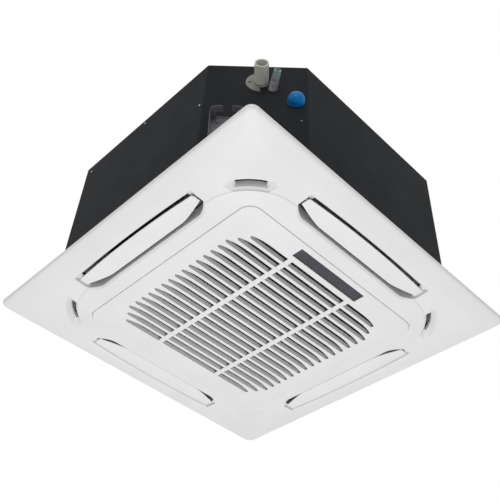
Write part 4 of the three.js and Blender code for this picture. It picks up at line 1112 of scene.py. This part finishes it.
# hexagon head on its washer
def hexHead():
    r, foot, top, bevel = screws["bolt"], screws["washerThick"], screws["boltHeight"], screws["boltBevel"]
    bolt = turned([(0, foot), (r, foot), (r, top - bevel), (r - bevel, top), (0, top)], 6)
    return gathered(rod(screws["washer"], 0, foot, 24), bolt)


# stands a shape on a wall that faces the given azimuth
def onWall(shape, azimuth, reach, side, height):
    return spun(alongX(shape, side, height, reach), azimuth)


def makeScrews():
    head = panHead()
    onWalls, onCorners = [], []
    for k in (0, 2):
        for side, height in screws["onWalls"]:
            onWalls.append(onWall(head.copy(), k * quarter, casing["reach"], side, height))
    for k in range(4):
        for side, height in screws["onCorners"]:
            onCorners.append(onWall(head.copy(), (k + 0.5) * quarter, cornerReach, side, height))
    head.free()
    finishPiece("wallScrews", gathered(*onWalls), "cassette", "screw")
    finishPiece("cornerScrews", gathered(*onCorners), "cassette", "dullScrew")


def makeBracketBolts():
    made, reach = [], screws["bracketReach"]
    for k, corner in enumerate(cornerNames):
        shift = screws["bracketShift"] * (-1 if corner.endswith("left") else 1)
        for side, height in screws["onBrackets"]:
            made.append(onWall(hexHead(), (k + 2.5) * quarter, reach, shift + side, height))
    finishPiece("bracketBolts", gathered(*made), "cassette", "dullScrew")


makeScrews()
makeBracketBolts()
print("casing made")


# inside: what shows when the grille is open
bellMouth = {"flange": 234, "base": 9, "sheet": 2.7, "mouth": 222, "throat": 188, "bend": 46, "lip": 185.5,
             "top": 92}


def makeBellMouth():
    mouth, throat, bend = bellMouth["mouth"], bellMouth["throat"], bellMouth["bend"]
    base, flange, lip = bellMouth["base"], bellMouth["flange"], bellMouth["lip"]
    back = base + bellMouth["sheet"]
    profile = [(flange, base)] + quadratic((mouth, base), (throat + 4, base + 3), (throat, bend), 12)
    profile += [(lip, bellMouth["top"]), (lip + 2.5, bellMouth["top"])]
    profile += quadratic((throat + 2.5, bend + 1), (throat + 7, base + 6), (mouth + 1, back), 12)
    ring = turned(profile + [(flange, back)], 96)
    finishPiece("bellMouthRing", ring, "cassette", "black", ["bell_mouth"])


# profiles are (radius, height); the passage is the space that the blades fill between hub and shroud
fan = {
    "radius": 242, "top": 303, "hubSheet": 3,
    "neck": 195, "neckWall": 2.5, "neckFoot": 80, "neckTop": 108, "shroudEdge": 160,
    "shroudOutside": ((196, 113), (202, 145), (242, 157.5)),
    "shroudInside": ((240, 159.6), (199, 147), (193.3, 113)),
    "hub": [(128, 303), (112, 298), (80, 232), (72, 226), (18, 226), (18, 236), (6.3, 236), (6.3, 204),
            (17, 204), (17, 223), (74, 223), (83, 230), (115, 295.5), (129, 300)],
    "passage": [(112, 301.5), (241, 301.5), (241, 158.5), (221.5, 150.8), (207, 138.8), (197.8, 123.5),
                (193.8, 108), (165, 128), (112, 180)],
    "blades": 7, "bladeSteps": 12, "bladeEdge": 1.1, "bladeBelly": 11, "tipInset": 1.5,
    "sweep": -0.72, "lean": 0.36, "rootLow": 118, "rootHigh": 142,
    "bladeHeights": (100, 134, 168, 202, 236, 270, 302),
}


# one blade between two radii: backward curved, thickest near the middle, leaning with height
def bladeOutline(inner, lean):
    steps = fan["bladeSteps"]

    def side(sign):
        points = []
        for i in range(steps + 1):
            t = i / steps
            radius = inner + (fan["radius"] - fan["tipInset"] - inner) * t
            half = fan["bladeEdge"] + fan["bladeBelly"] * math.sqrt(t) * (1 - t)
            angle = lean + fan["sweep"] * t ** 0.8 + sign * half / radius
            points.append((radius * math.cos(angle), radius * math.sin(angle)))
        return points

    return side(1) + side(-1)[::-1]


def makeFan():
    r, top, neck, heights = fan["radius"], fan["top"], fan["neck"], fan["bladeHeights"]
    hub = turned([(r, top - fan["hubSheet"]), (r, top)] + fan["hub"], 72)
    bore = neck - fan["neckWall"]
    outside = [(neck, fan["neckFoot"]), (neck, fan["neckTop"])] + quadratic(*fan["shroudOutside"], 10)
    inside = quadratic(*fan["shroudInside"], 10) + [(bore, fan["neckTop"]), (bore, fan["neckFoot"])]
    shroud = turned(outside + [(r, fan["shroudEdge"])] + inside, 96)
    outlines = []
    for i in range(len(heights)):
        share = i / (len(heights) - 1)
        root = fan["rootLow"] + (fan["rootHigh"] - fan["rootLow"]) * share
        outlines.append(bladeOutline(root, fan["lean"] * share))
    blade = combined(stack(outlines, heights), turned(fan["passage"], 72), "INTERSECT")
    blades = [spun(blade.copy(), 2 * math.pi * k / fan["blades"]) for k in range(fan["blades"])]
    blade.free()
    finishPiece("turboWheel", gathered(hub, shroud, *blades), "fan", "fan", ["turbo_fan"])


motor = {"radius": 62, "low": 240, "high": 386, "flange": 84, "flangeLow": 352, "flangeHigh": 358}


def makeMotor():
    r, low, high, flange = motor["radius"], motor["low"], motor["high"], motor["flange"]
    profile = [(0, low), (r - 4, low)] + quadratic((r - 3, low), (r, low), (r, low + 4), 3)
    profile += [(r, motor["flangeLow"]), (flange, motor["flangeLow"])]
    profile += [(flange, motor["flangeHigh"]), (r, motor["flangeHigh"])]
    profile += quadratic((r - 2, high - 6), (r - 3, high), (r - 10, high), 4) + [(0, high)]
    finishPiece("motorCan", turned(profile, 64), "cassette", "steel", ["fan_motor"])


makeBellMouth()
makeFan()
makeMotor()

# CAD nodes that are dressed as they are: body, finish and easing of the edges in mm
insides = {
    "drain_pan": ("cassette", "foam", 1.5),
    "foam_liner": ("cassette", "foam", 1.0),
    "control_box_cover": ("cassette", "zinc", 0.4),
    "control_box": ("cassette", "zinc", 0.4),
    "motor_mount": ("cassette", "zinc", 0.5),
    "room_sensor": ("cassette", "black", 0.6),
    "latch_housing_left": ("cassette", "panel", 0.6),
    "latch_housing_right": ("cassette", "panel", 0.6),
    "cable_grommet": ("cassette", "rubber", 0.8),
    "air_filter": ("grille", "net", 0.5),
    "fan_nut": ("fan", "brass", 0.6),
}
for side in sideNames:
    insides[f"louver_motor_{side}"] = ("cassette", "black", 0.6)
for node, (body, finish, easing) in insides.items():
    dress(node, body, finish, easing)

# CAD nodes that stay, with a finish
plainNodes = {
    "panel_seal": "seal", "top_insulation": "foam", "evaporator_coil": "fins",
    "coil_end_plate_front": "zinc", "coil_end_plate_left": "zinc",
    "gas_header": "copper", "gas_flare_nut": "brass", "liquid_distributor": "copper",
    "drain_pump": "grey", "drain_hose": "rubber", "float_switch": "panel", "fan_shaft": "steel",
    "control_board": "board", "display_board": "board",
    "latch_plunger_left": "grey", "latch_plunger_right": "grey",
}
for node, finish in plainNodes.items():
    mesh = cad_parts[node].data
    mesh.materials.clear()
    mesh.materials.append(finishes[finish])
print("inside made")
